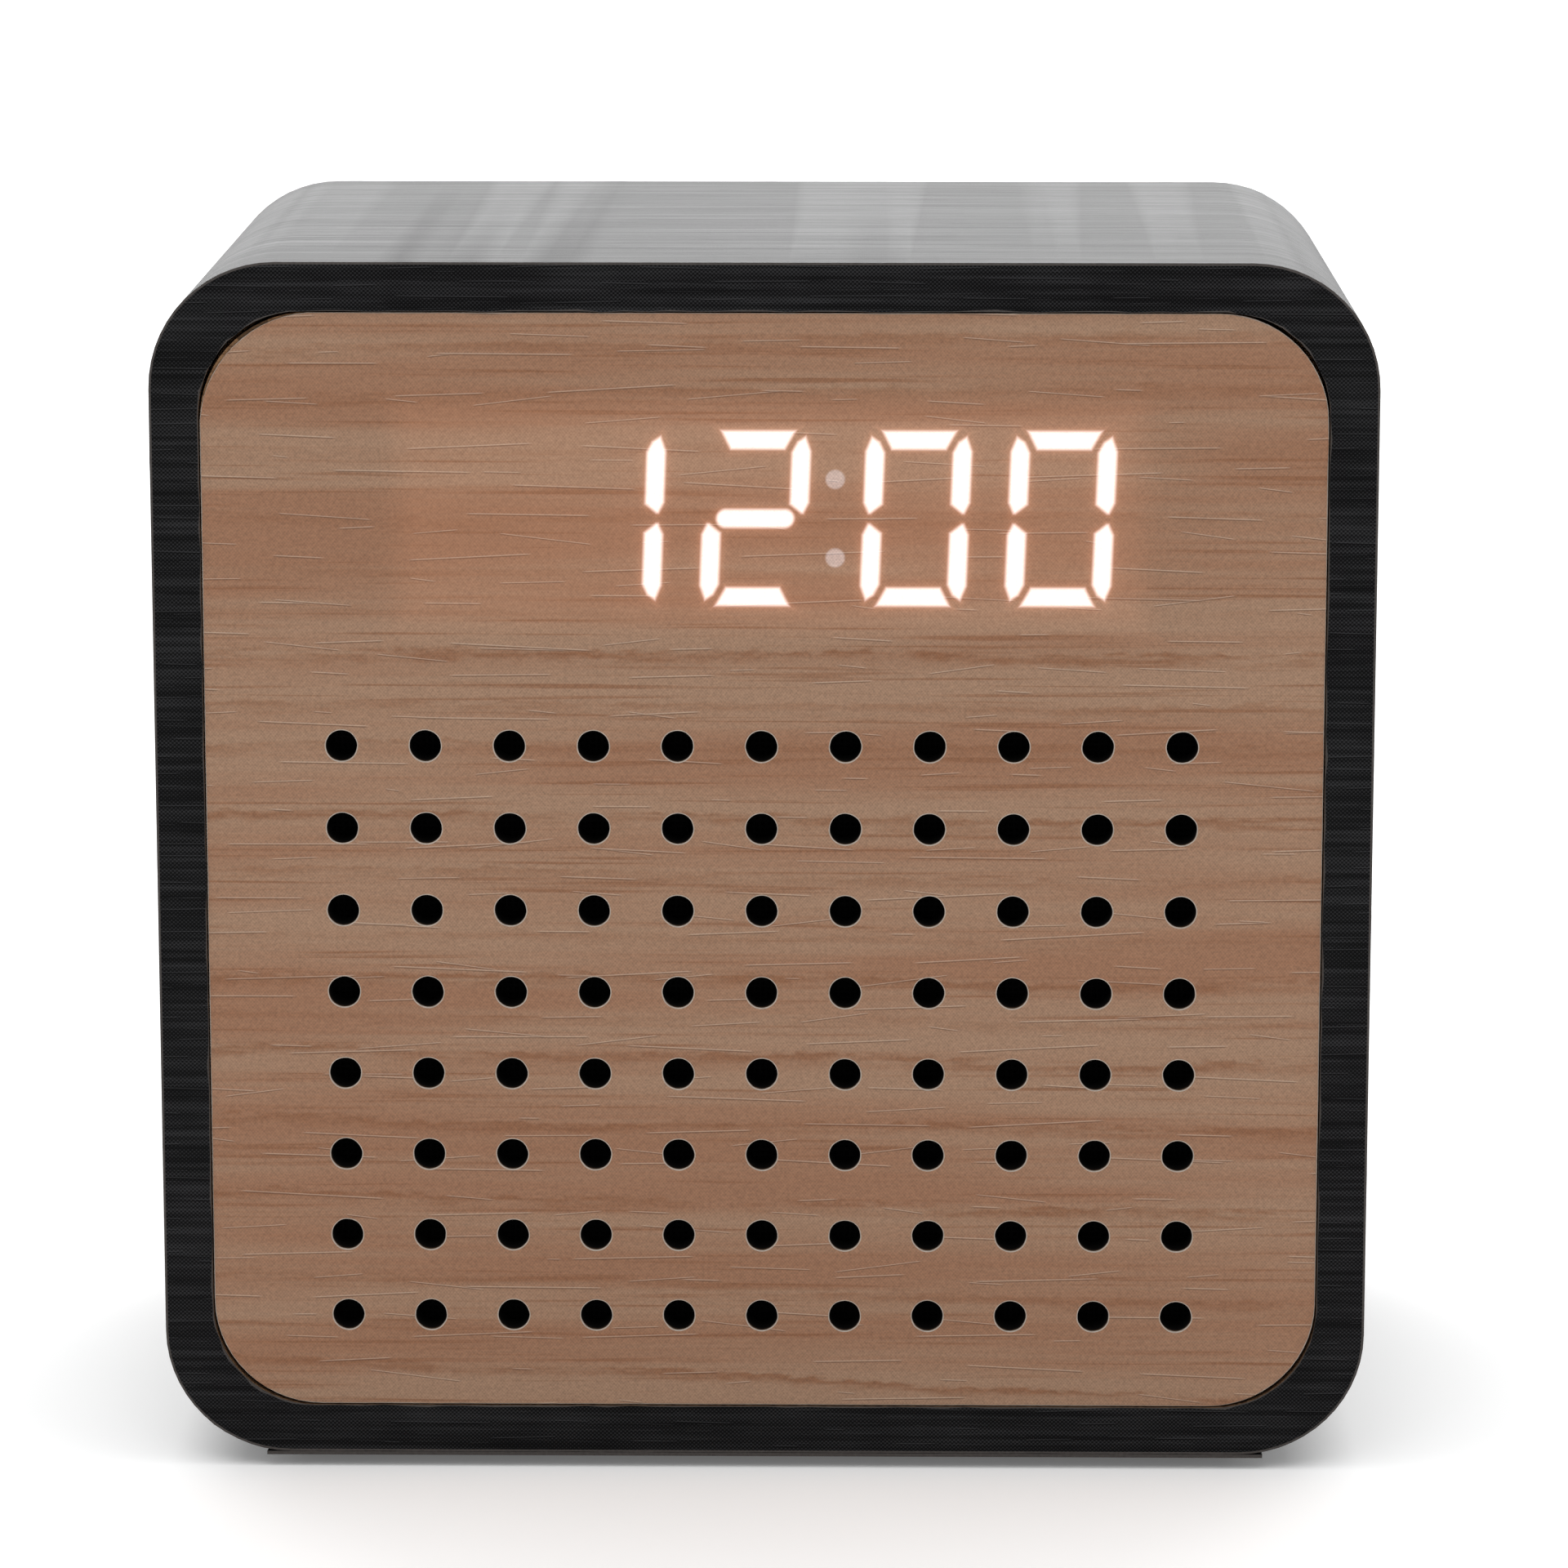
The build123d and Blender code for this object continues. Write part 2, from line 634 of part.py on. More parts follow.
def speaker_screws():
    head = (SPEAKER_HEAD_RADIUS, SPEAKER_HEAD_HEIGHT)
    places = speaker_screw_places()
    return separate([screw(x, z, FLANGE_BACK, SCREW_TIP, *head, SHANK_RADIUS) for x, z in places])


def speaker_leads():
    top = GRILLE_HEIGHT + 23.4
    leads = []
    for side in SIDES:
        x = 5 * side
        points = [(x, FLANGE_BACK, top), (x, -12, top), (x, 8, 12.5), (x, PCB_FRONT, 12.5)]
        leads.append(wire(6, *points))
    return separate(leads)


# ---- main board -----------------------------------------------------------------------------
def pcb_screw_places():
    heights = (PCB_BOTTOM + PCB_SCREW_INSET, PCB_TOP - PCB_SCREW_INSET)
    return [(across * PCB_SCREW_X, z) for across in SIDES for z in heights]


def main_pcb():
    middle = (PCB_BOTTOM + PCB_TOP) / 2
    outline = at(0, middle, RectangleRounded(2 * PCB_HALF_WIDTH, PCB_TOP - PCB_BOTTOM, 1))
    board = prism(outline, PCB_FRONT, PCB_BACK)
    for x, z in pcb_screw_places():
        board -= prism(at(x, z, Circle(SCREW_HOLE_RADIUS)), PCB_FRONT, PCB_BACK)
    return board


def pcb_parts():
    """Four chips as (x, height, width, tallness, thickness) and three upright capacitors."""
    chips = [(-17, 21, 7, 7, 1.2), (16, 22, 5, 6, 1.5), (-14, 31, 5, 4, 1.5), (20, 31, 8, 3, 2.5)]
    pieces = [
        box((x - wide / 2, x + wide / 2), (PCB_FRONT - high, PCB_FRONT), (z - tall / 2, z + tall / 2))
        for x, z, wide, tall, high in chips
    ]
    capacitors = [(-26, 22, 2.5, 6), (26, 22, 2.5, 6), (-24, 30, 2.0, 5)]
    for x, z, radius, high in capacitors:
        pieces.append(prism(at(x, z, Circle(radius)), PCB_FRONT - high, PCB_FRONT))
    return separate(pieces)


def pcb_screws():
    tip = PCB_BACK + BOSS_PILOT_DEPTH - 0.5
    size = (PCB_HEAD_RADIUS, PCB_HEAD_HEIGHT, SHANK_RADIUS)
    return separate([screw(x, z, PCB_FRONT, tip, *size, False) for x, z in pcb_screw_places()])


def push_switches():
    switches = []
    for x in BUTTON_XS:
        outline = RectangleRounded(SWITCH_SIZE, SWITCH_SIZE, BUTTON_EDGE)
        case = prism(at(x, BUTTON_Z, outline), PCB_BACK, SWITCH_BACK)
        well = at(x, BUTTON_Z, Circle(SWITCH_WELL_RADIUS))
        well = prism(well, PCB_BACK + SWITCH_FLOOR, SWITCH_BACK)
        switches.append(case - well)
    return separate(switches)


# ---- rear cover -----------------------------------------------------------------------------
def cover_screw_places():
    return [(across * COVER_SCREW_AT, up * COVER_SCREW_AT) for across, up in CORNERS]


def cover_openings():
    """Every outline cut right through the rear cover's plate."""
    hatch = RectangleRounded(2 * HATCH_HALF_WIDTH, HATCH_TOP - HATCH_BOTTOM, 1)
    inlet = RectangleRounded(INLET_WIDTH + 1.6, INLET_HEIGHT + 1.4, 1)
    slider = RectangleRounded(*SLIDER_OPENING, 0.6)
    openings = [at(0, HATCH_MIDDLE, hatch), at(0, CONTROL_Z, inlet), at(SLIDER_X, CONTROL_Z, slider)]
    openings += [at(x, BUTTON_Z, Circle(BUTTON_RADIUS + BUTTON_GAP)) for x in BUTTON_XS]
    openings += [at(x, z, Circle(COVER_SCREW_HOLE)) for x, z in cover_screw_places()]
    return openings


def cover_plate():
    """The plate with four lips that stand inside the case's opening."""
    plate = prism(board_outline(), COVER_FRONT, COVER_BACK)
    plate = chamfer(plate.faces().sort_by(Axis.Y)[-1].edges(), COVER_EDGE)
    edge = BOARD_SIZE / 2
    depth = (COVER_FRONT - COVER_LIP_DEPTH, COVER_FRONT)
    length = (-COVER_LIP_HALF_LENGTH, COVER_LIP_HALF_LENGTH)
    for side in SIDES:
        lip = sorted((side * edge, side * (edge - COVER_LIP)))
        plate += box(lip, depth, length)
        plate += box(length, depth, lip)
    return plate


def rear_cover():
    cover = cover_plate()
    for x, z in pcb_screw_places():
        cover += prism(at(x, z, Circle(BOSS_RADIUS)), PCB_BACK, COVER_FRONT)
        cover -= prism(at(x, z, Circle(PILOT_RADIUS)), PCB_BACK, PCB_BACK + BOSS_PILOT_DEPTH)
    for opening in cover_openings():
        cover -= prism(opening, COVER_FRONT, COVER_BACK)
    for x, z in cover_screw_places():
        cover -= prism(at(x, z, Circle(COVER_HEAD_HOLE)), COVER_BACK - COVER_HEAD_SUNK, COVER_BACK)
    return cover


def cover_screws():
    seat = COVER_BACK - COVER_HEAD_SUNK
    tip = COVER_FRONT - COVER_SCREW_LENGTH
    size = (COVER_HEAD_RADIUS, COVER_HEAD_HEIGHT, COVER_SHANK_RADIUS)
    return separate([screw(x, z, seat, tip, *size) for x, z in cover_screw_places()])


# ---- push buttons ---------------------------------------------------------------------------
def button(x, sign):
    """A round cap with a flange behind the cover, a stem into its switch and a sunk sign."""
    cap_back = COVER_BACK + BUTTON_PROUD
    flange_back = COVER_FRONT - 0.2
    flange_front = flange_back - BUTTON_FLANGE_THICKNESS
    stem_front = PCB_BACK + SWITCH_FLOOR + 0.2 + BUTTON_TRAVEL
    cap = prism(at(x, BUTTON_Z, Circle(BUTTON_RADIUS)), flange_back, cap_back)
    cap = fillet(cap.faces().sort_by(Axis.Y)[-1].edges(), BUTTON_EDGE)
    flange = at(x, BUTTON_Z, Circle(BUTTON_RADIUS + BUTTON_FLANGE))
    flange = prism(flange, flange_front, flange_back)
    stem = prism(at(x, BUTTON_Z, Circle(STEM_RADIUS)), stem_front, flange_back)
    return cap + flange + stem - prism(at(x, BUTTON_Z, sign), cap_back - SIGN_DEPTH, cap_back)


def triangle(up):
    return polygon((-1.3, -0.9 * up), (1.3, -0.9 * up), (0, 1.3 * up))


def ring_sign():
    return Circle(1.5) - Circle(1.0)


def cross_sign():
    return Rectangle(2.6, 0.5) + Rectangle(0.5, 2.6)


def bell_sign():
    return Circle(0.8) + polygon((-0.8, 0), (0.8, 0), (1.3, -1.1), (-1.3, -1.1))


# ---- slide switch ---------------------------------------------------------------------------
def slide_switch_case():
    case = prism(at(SLIDER_X, CONTROL_Z, Rectangle(*SLIDER_CASE)), PCB_BACK, SLIDER_CASE_BACK)
    slot = Rectangle(SLIDER_TRAVEL + KNOB_STEM + 1.0, KNOB_STEM + 0.6)
    slot = at(SLIDER_X, CONTROL_Z, slot)
    return case - prism(slot, PCB_BACK + SLIDER_FLOOR, SLIDER_CASE_BACK)


def slide_switch_knob():
    """At rest the knob stands at the -X end of its slot."""
    x = SLIDER_X - SLIDER_TRAVEL / 2
    tip_back = COVER_BACK + KNOB_PROUD
    plate_back = COVER_FRONT - 0.3
    plate_front = plate_back - KNOB_PLATE_THICKNESS
    plate = prism(at(x, CONTROL_Z, Rectangle(*KNOB_PLATE)), plate_front, plate_back)
    tip = prism(at(x, CONTROL_Z, RectangleRounded(*KNOB_TIP, 0.4)), plate_back, tip_back)
    stem = at(x, CONTROL_Z, Rectangle(KNOB_STEM, KNOB_STEM))
    stem = prism(stem, PCB_BACK + SLIDER_FLOOR + 0.4, plate_front)
    knob = plate + tip + stem
    for place in (-1, 0, 1):
        groove = Rectangle(KNOB_GROOVE, KNOB_TIP[1])
        groove = at(x + place * KNOB_GROOVE_PITCH, CONTROL_Z, groove)
        knob -= prism(groove, COVER_BACK + KNOB_PROUD / 2, tip_back)
    return knob


# ---- power inlet ----------------------------------------------------------------------------
def inlet_outline(inset):
    """The inlet's section: a low box with its two lower corners cut off."""
    wide = INLET_WIDTH / 2 - inset
    high = INLET_HEIGHT / 2 - inset
    cut = INLET_CORNER
    upper = [(-wide, high), (wide, high), (wide, cut - high)]
    return polygon(*upper, (wide - cut, -high), (cut - wide, -high), (-wide, cut - high))


def inlet_shell():
    wall = inlet_outline(0) - inlet_outline(INLET_SHEET)
    return prism(at(0, CONTROL_Z, wall), PCB_BACK, INLET_BACK)


def inlet_tongue():
    base_back = PCB_BACK + TONGUE_BASE
    base = prism(at(0, CONTROL_Z, inlet_outline(INLET_SHEET + FIT)), PCB_BACK, base_back)
    across = (-TONGUE_HALF_WIDTH, TONGUE_HALF_WIDTH)
    return base + box(across, (base_back, INLET_BACK - 0.8), (CONTROL_Z + 0.1, CONTROL_Z + 0.6))


# ---- battery compartment --------------------------------------------------------------------
def battery_tray():
    low = HATCH_BOTTOM - TRAY_LEDGE
    high = HATCH_TOP + TRAY_LEDGE
    wide = HATCH_HALF_WIDTH
    wall = TRAY_WALL
    floor = TRAY_FLOOR
    tray = box((-wide - wall, wide + wall), (floor - wall, COVER_FRONT), (low - wall, high + wall))
    tray -= box((-wide, wide), (floor, COVER_FRONT), (low, high))
    length = (-CELL_RIB_HALF_LENGTH, CELL_RIB_HALF_LENGTH)
    half = CELL_RIB_THICKNESS / 2
    for below, above in zip(CELL_ZS, CELL_ZS[1:]):
        middle = (below + above) / 2
        tray += box(length, (floor, floor + CELL_RIB_HEIGHT), (middle - half, middle + half))
    return tray


def cell_directions():
    """Each cell's height and the side its positive tip points to."""
    return [(z, 1 if place % 2 == 0 else -1) for place, z in enumerate(CELL_ZS)]


def along_x(radius, x_from, x_to, z):
    low, high = sorted((x_from, x_to))
    rod = Pos((low + high) / 2, CELL_Y, z + FACE_Z) * Rot(0, 90, 0)
    return rod * Cylinder(radius, high - low)


def battery_cells():
    cells = []
    for z, side in cell_directions():
        tip = side * (TIP_PLATE - BUMP)
        shoulder = tip - side * CELL_TIP_LENGTH
        end = tip - side * CELL_LENGTH
        body = along_x(CELL_RADIUS, shoulder, end, z)
        body = fillet(body.edges().filter_by(GeomType.CIRCLE), 0.5)
        cells.append(body + along_x(CELL_TIP_RADIUS, tip, shoulder, z))
    return separate(cells)


def contact_plates():
    plates = []
    half = CONTACT_HALF
    for z, side in cell_directions():
        for end in SIDES:
            across = sorted((end * HATCH_HALF_WIDTH, end * TIP_PLATE))
            plate = box(across, (CELL_Y - half, CELL_Y + half), (z - half, z + half))
            if end == side:
                plate += along_x(BUMP_RADIUS, end * TIP_PLATE, end * (TIP_PLATE - BUMP), z)
            plates.append(plate)
    return separate(plates)


def contact_springs():
    """Tapered springs at the negative ends, as the space their coils turn in."""
    springs = []
    for z, side in cell_directions():
        plate = -side * TIP_PLATE
        cell = side * (TIP_PLATE - BUMP - CELL_LENGTH)
        length = abs(plate - cell)
        spring = Pos((plate + cell) / 2, CELL_Y, z + FACE_Z) * Rot(0, 90 * side, 0)
        springs.append(spring * Cone(SPRING_BASE, SPRING_TIP, length))
    return separate(springs)


def battery_door():
    """A flat door with two tabs under the cover at its foot and a spring tongue at its head."""
    wide = HATCH_HALF_WIDTH - DOOR_GAP
    low = HATCH_BOTTOM + DOOR_GAP
    high = HATCH_TOP - DOOR_GAP
    front = COVER_BACK - DOOR_THICKNESS
    outline = RectangleRounded(2 * wide, high - low, 0.8)
    door = prism(at(0, HATCH_MIDDLE, outline), front, COVER_BACK)
    grip = at(0, high - DOOR_GRIP_FROM_TOP, RectangleRounded(*DOOR_GRIP, DOOR_GRIP[1] / 2 - 0.1))
    door -= prism(grip, COVER_BACK - DOOR_GRIP_DEPTH, COVER_BACK)
    for step in range(DOOR_GROOVES):
        groove = Rectangle(10 - 3 * step, 0.6)
        groove = at(0, high - 9 - DOOR_GROOVE_PITCH * step, groove)
        door -= prism(groove, COVER_BACK - DOOR_GROOVE_DEPTH, COVER_BACK)
    return door + door_tabs(low, front) + door_tongue(high, front)


def door_tabs(low, front):
    back = COVER_FRONT - 0.3
    tabs = []
    for side in SIDES:
        across = sorted((side * TAB_NEAR, side * TAB_FAR))
        tabs.append(box(across, (back - TAB_THICKNESS, front), (low, low + 1.4)))
        tabs.append(box(across, (back - TAB_THICKNESS, back), (HATCH_BOTTOM - TAB_REACH, low)))
    return tabs


def door_tongue(high, front):
    """The latch: a short tongue bent up at its end."""
    across = (-TONGUE_HALF, TONGUE_HALF)
    end = COVER_FRONT - TONGUE_REACH
    root = box(across, (end, front), (high - TONGUE_THICKNESS - 1.0, high - 1.0))
    lip = box(across, (end, end + TONGUE_THICKNESS), (high - TONGUE_THICKNESS - 1.0, high - 0.2))
    return [root, lip]


def battery_leads():
    leads = []
    for side in SIDES:
        x = side * (HATCH_HALF_WIDTH + TRAY_WALL + WIRE_RADIUS)
        end = side * 22
        points = [(x, 20, -8), (x, 20, 6), (end, 17, 16), (end, PCB_FRONT, 16)]
        leads.append(wire(2.5, *points))
    return separate(leads)


# ---- every node -----------------------------------------------------------------------------
def case_nodes():
    return {
        "case_tube": case_tube(),
        "case_wrap_film": case_wrap_film(),
        "front_rim_film": rim_film(CASE_FRONT),
        "rear_rim_film": rim_film(CASE_BACK - FILM),
        "base_strip": base_strip(),
        "feet": feet(),
        "corner_blocks": corner_blocks(),
        "front_board": front_board(),
        "front_film": front_film(),
        "speaker_cloth": speaker_cloth(),
    }


def display_nodes():
    made = {
        "display_reflector": display_reflector(),
        "colon_dots": diffusers(colon_dots_outline()),
        "indicator_signs": diffusers(indicator_outlines()),
        "led_chips": led_chips(),
        "display_pcb": display_pcb(),
        "display_screws": display_screws(),
        "display_ribbon": display_ribbon(),
    }
    for place, centre in enumerate(DIGIT_CENTRES, start=1):
        made["digit_" + str(place)] = diffusers(digit_bars(centre))
    return made


def speaker_nodes():
    return {
        "speaker_gasket": speaker_gasket(),
        "speaker_basket": speaker_basket(),
        "top_plate": top_plate(),
        "magnet": magnet(),
        "yoke": yoke(),
        "cone": cone(),
        "dust_cap": dust_cap(),
        "voice_coil": voice_coil(),
        "surround": surround(),
        "spider": spider(),
        "speaker_screws": speaker_screws(),
        "speaker_leads": speaker_leads(),
    }


def board_and_cover_nodes():
    return {
        "main_pcb": main_pcb(),
        "pcb_parts": pcb_parts(),
        "pcb_screws": pcb_screws(),
        "push_switches": push_switches(),
        "rear_cover": rear_cover(),
        "cover_screws": cover_screws(),
        "slide_switch_case": slide_switch_case(),
        "slide_switch_knob": slide_switch_knob(),
        "inlet_shell": inlet_shell(),
        "inlet_tongue": inlet_tongue(),
    }


def battery_nodes():
    return {
        "battery_tray": battery_tray(),
        "battery_cells": battery_cells(),
        "contact_plates": contact_plates(),
        "contact_springs": contact_springs(),
        "battery_door": battery_door(),
        "battery_leads": battery_leads(),
    }


def button_nodes():
    signs = {
        "button_mode": ring_sign(),
        "button_set": cross_sign(),
        "button_alarm": bell_sign(),
        "button_down": triangle(-1),
        "button_up": triangle(1),
    }
    return {name: button(x, sign) for x, (name, sign) in zip(BUTTON_XS, signs.items())}


os.makedirs("parts", exist_ok=True)
for made in (case_nodes, display_nodes, speaker_nodes, board_and_cover_nodes, battery_nodes, button_nodes):
    for node, shape in made().items():
        export_step(shape, "parts/" + node + ".step")
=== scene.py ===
import math

import bmesh
import bpy
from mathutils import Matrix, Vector, noise


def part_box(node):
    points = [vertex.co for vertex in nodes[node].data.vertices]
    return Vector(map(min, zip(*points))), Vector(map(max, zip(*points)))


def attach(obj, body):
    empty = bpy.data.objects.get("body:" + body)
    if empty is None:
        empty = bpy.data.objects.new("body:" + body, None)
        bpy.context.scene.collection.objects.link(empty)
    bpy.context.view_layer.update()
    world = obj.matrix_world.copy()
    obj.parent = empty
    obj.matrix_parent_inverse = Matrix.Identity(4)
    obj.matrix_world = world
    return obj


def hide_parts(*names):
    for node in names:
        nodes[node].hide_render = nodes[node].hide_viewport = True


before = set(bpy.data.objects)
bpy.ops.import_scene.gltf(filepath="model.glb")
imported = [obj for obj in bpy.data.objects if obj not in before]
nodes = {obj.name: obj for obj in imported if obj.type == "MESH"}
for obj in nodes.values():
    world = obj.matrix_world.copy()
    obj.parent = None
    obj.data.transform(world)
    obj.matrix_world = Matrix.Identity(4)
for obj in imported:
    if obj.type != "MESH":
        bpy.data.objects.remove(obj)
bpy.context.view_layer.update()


# ---- case tube ------------------------------------------------------------------------------
# The case is a square tube of medium-density fibreboard with rounded corners, glued and sanded.
# Its four walls are 4 mm thick and stay raw inside, where the board's pressed fibres show.
MM = 0.001
FIBRE_LIGHT = (0.30, 0.17, 0.085)
FIBRE_DARK = (0.11, 0.055, 0.028)


class Wire:
    """A number on its way through a finish. Arithmetic on it adds Math nodes."""

    def __init__(self, finish, socket):
        self.finish = finish
        self.socket = socket

    def __add__(self, other):
        return self.finish.math("ADD", self, other)

    def __sub__(self, other):
        return self.finish.math("SUBTRACT", self, other)

    def __rsub__(self, other):
        return self.finish.math("SUBTRACT", other, self)

    def __mul__(self, other):
        return self.finish.math("MULTIPLY", self, other)

    def __truediv__(self, other):
        return self.finish.math("DIVIDE", self, other)

    def __neg__(self):
        return self.finish.math("MULTIPLY", self, -1)

    def __abs__(self):
        return self.finish.math("ABSOLUTE", self)

    def __gt__(self, other):
        return self.finish.math("GREATER_THAN", self, other)

    def __lt__(self, other):
        return self.finish.math("LESS_THAN", self, other)

    __radd__ = __add__
    __rmul__ = __mul__


class Finish:
    """A procedural finish: one Principled shader and the nodes that feed it, measured in mm."""

    def __init__(self, name, **constants):
        self.material = bpy.data.materials.new(name)
        self.material.use_nodes = True
        self.tree = self.material.node_tree
        self.shader = self.tree.nodes["Principled BSDF"]
        for word, value in constants.items():
            self.give(word.replace("_", " ").title().replace("Ior", "IOR"), value)
        where = self.add("TexCoord", {}, {}, "Object")
        self.place = self.add("VectorMath", {"operation": "SCALE"}, {0: where, "Scale": 1 / MM})
        self.x, self.y, self.z = [self.add("SeparateXYZ", {}, {0: self.place}, axis) for axis in "XYZ"]

    def add(self, kind, settings, sockets, out=0):
        """A node of that kind: its settings are made first, then its sockets are fed."""
        node = self.tree.nodes.new("ShaderNode" + kind)
        for name, value in settings.items():
            if name == "stops":
                self.set_stops(node.color_ramp, value)
            else:
                setattr(node, name, value)
        for name, value in sockets.items():
            self.feed(node.inputs[name], value)
        return Wire(self, node.outputs[out])

    def set_stops(self, ramp, stops):
        while len(ramp.elements) < len(stops):
            ramp.elements.new(1)
        for element, (position, value) in zip(ramp.elements, stops):
            element.position = position
            element.color = (value, value, value, 1)

    def feed(self, socket, value):
        if isinstance(value, Wire):
            self.tree.links.new(value.socket, socket)
        elif socket.type == "RGBA":
            socket.default_value = (*value, 1)
        else:
            socket.default_value = value

    def give(self, socket, value):
        self.feed(self.shader.inputs[socket], value)

    def math(self, operation, *values):
        return self.add("Math", {"operation": operation}, dict(enumerate(values)))

    def most(self, first, *others):
        for other in others:
            first = self.math("MAXIMUM", first, other)
        return first

    def least(self, first, *others):
        for other in others:
            first = self.math("MINIMUM", first, other)
        return first

    def smooth(self, value, low, high):
        """0 at low and 1 at high, with an eased step between them. Low may be the larger."""
        return self.add("MapRange", {"interpolation_type": "SMOOTHSTEP"}, {0: value, 1: low, 2: high})

    def mixed(self, share, first, second):
        return self.add("Mix", {"data_type": "RGBA"}, {0: share, 6: first, 7: second}, 2)

    def joined(self, x, y=0, z=0):
        return self.add("CombineXYZ", {}, {0: x, 1: y, 2: z})

    def cloud(self, size, detail=2, place=None):
        """Noise from 0 to 1 whose features are as large as size says, in mm along X, Y and Z."""
        spot = self.add("VectorMath", {"operation": "DIVIDE"}, {0: place or self.place, 1: size})
        return self.add("TexNoise", {}, {"Vector": spot, "Scale": 1, "Detail": detail})

    def waves(self, value, pitch):
        """A wave from -1 to 1 that repeats every pitch mm."""
        return self.math("SINE", value * (2 * math.pi / pitch))

    def bump(self, height, depth):
        """Relief: height goes from 0 to 1 and stands depth mm high."""
        self.give("Normal", self.add("Bump", {}, {"Distance": depth * MM, "Height": height}))


def dress(finish, *names):
    """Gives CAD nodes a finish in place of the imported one."""
    for name in names:
        for slot in nodes[name].material_slots:
            slot.material = finish.material


def fibreboard(name):
    board = Finish(name, roughness=0.88, specular_ior_level=0.2)
    fibres = board.cloud((0.5, 0.5, 0.16), 5)
    clumps = board.cloud((5, 5, 5), 3)
    shade = board.smooth(fibres * 0.7 + clumps * 0.3, 0.34, 0.64)
    board.colour = board.mixed(shade, FIBRE_DARK, FIBRE_LIGHT)
    board.give("Base Color", board.colour)
    board.bump(fibres, 0.06)
    return board


dress(fibreboard("raw_fibreboard"), "case_tube")


# ---- wrap film ------------------------------------------------------------------------------
# Black decor film is wrapped once round the tube's outside and cut flush with a knife at both
# ends, so its grain runs round the case. A fine diagonal emboss and thin pores are pressed in.
wrap_low, wrap_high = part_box("case_wrap_film")
CASE_SIZE = (wrap_high.x - wrap_low.x) / MM
CASE_FRONT = wrap_low.y / MM
CASE_BACK = wrap_high.y / MM
FACE_Z = (wrap_low.z + wrap_high.z) / 2 / MM
CASE_RADIUS = 10.4
FILM = 0.2
CUT_BEVEL = 0.06
KNIFE_WANDER = 0.03
SIDE_STEPS = 40
CORNER_STEPS = 14
SHARP = 15
EMBOSS_ALONG = 0.34
EMBOSS_ACROSS = 0.32
BLACK_LOW = (0.0006, 0.0006, 0.0008)
BLACK_HIGH = (0.034, 0.034, 0.036)
BLACK_CUT = (0.085, 0.075, 0.070)


def round_square(size, radius, depth, wander=0.0, trim=0.0):
    """Points round a rounded square at one depth, each moved in or out by a knife's wander.
    The upper left corner can be trimmed closer than the others."""
    reach = size / 2 - radius
    points = []
    for quarter in range(4):
        start = math.pi / 2 * quarter
        centre = Vector((math.cos(start + math.pi / 4), math.sin(start + math.pi / 4)))
        centre = Vector((math.copysign(reach, centre.x), math.copysign(reach, centre.y)))
        for step in range(CORNER_STEPS + 1):
            angle = start + math.pi / 2 * step / CORNER_STEPS
            closer = trim * math.sin(math.pi * step / CORNER_STEPS) if quarter == 1 else 0
            points.append(centre + (radius - closer) * Vector((math.cos(angle), math.sin(angle))))
        along = Vector((-math.sin(start + math.pi / 2), math.cos(start + math.pi / 2)))
        corner = points[-1].copy()
        for step in range(1, SIDE_STEPS):
            points.append(corner + along * (2 * reach * step / SIDE_STEPS))
    placed = []
    for point in points:
        drift = 1 + wander / size * 4 * noise.noise((point.x * 0.7, depth, point.y * 0.7))
        placed.append(Vector((point.x * drift, depth, point.y * drift + FACE_Z)) * MM)
    return placed


def finished_piece(name, work, *finishes):
    """A piece from its worked faces, smooth except where they turn by more than SHARP degrees."""
    bmesh.ops.recalc_face_normals(work, faces=work.faces)
    mesh = bpy.data.meshes.new(name)
    for finish in finishes:
        mesh.materials.append(finish.material)
    work.to_mesh(mesh)
    work.free()
    mesh.shade_smooth()
    mesh.set_sharp_from_angle(angle=math.radians(SHARP))
    piece = bpy.data.objects.new(name, mesh)
    bpy.context.scene.collection.objects.link(piece)
    return piece


def new_piece(name, vertices, faces, *finishes):
    work = bmesh.new()
    corners = [work.verts.new(vertex) for vertex in vertices]
    for face in faces:
        work.faces.new([corners[number] for number in face])
    return finished_piece(name, work, *finishes)


def stitch(loops, closed=True):
    """Vertices and quads of a skin through equal loops of points, and back to the first loop."""
    count = len(loops[0])
    faces = []
    last = len(loops) if closed else len(loops) - 1
    for row in range(last):
        here = row * count
        there = (row + 1) % len(loops) * count
        for step in range(count):
            after = (step + 1) % count
            faces.append((here + step, here + after, there + after, there + step))
    return [point for loop in loops for point in loop], faces


def film_loops(size, radius, front, back):
    """The four corners of a wrapped film's section, with bevelled knife cuts at both ends."""
    inner = size - 2 * FILM
    return [
        round_square(size, radius, front + CUT_BEVEL),
        round_square(size - CUT_BEVEL, radius - CUT_BEVEL / 2, front, KNIFE_WANDER),
        round_square(inner, radius - FILM, front),
        round_square(inner, radius - FILM, back),
        round_square(size - CUT_BEVEL, radius - CUT_BEVEL / 2, back, KNIFE_WANDER),
        round_square(size, radius, back - CUT_BEVEL),
    ]


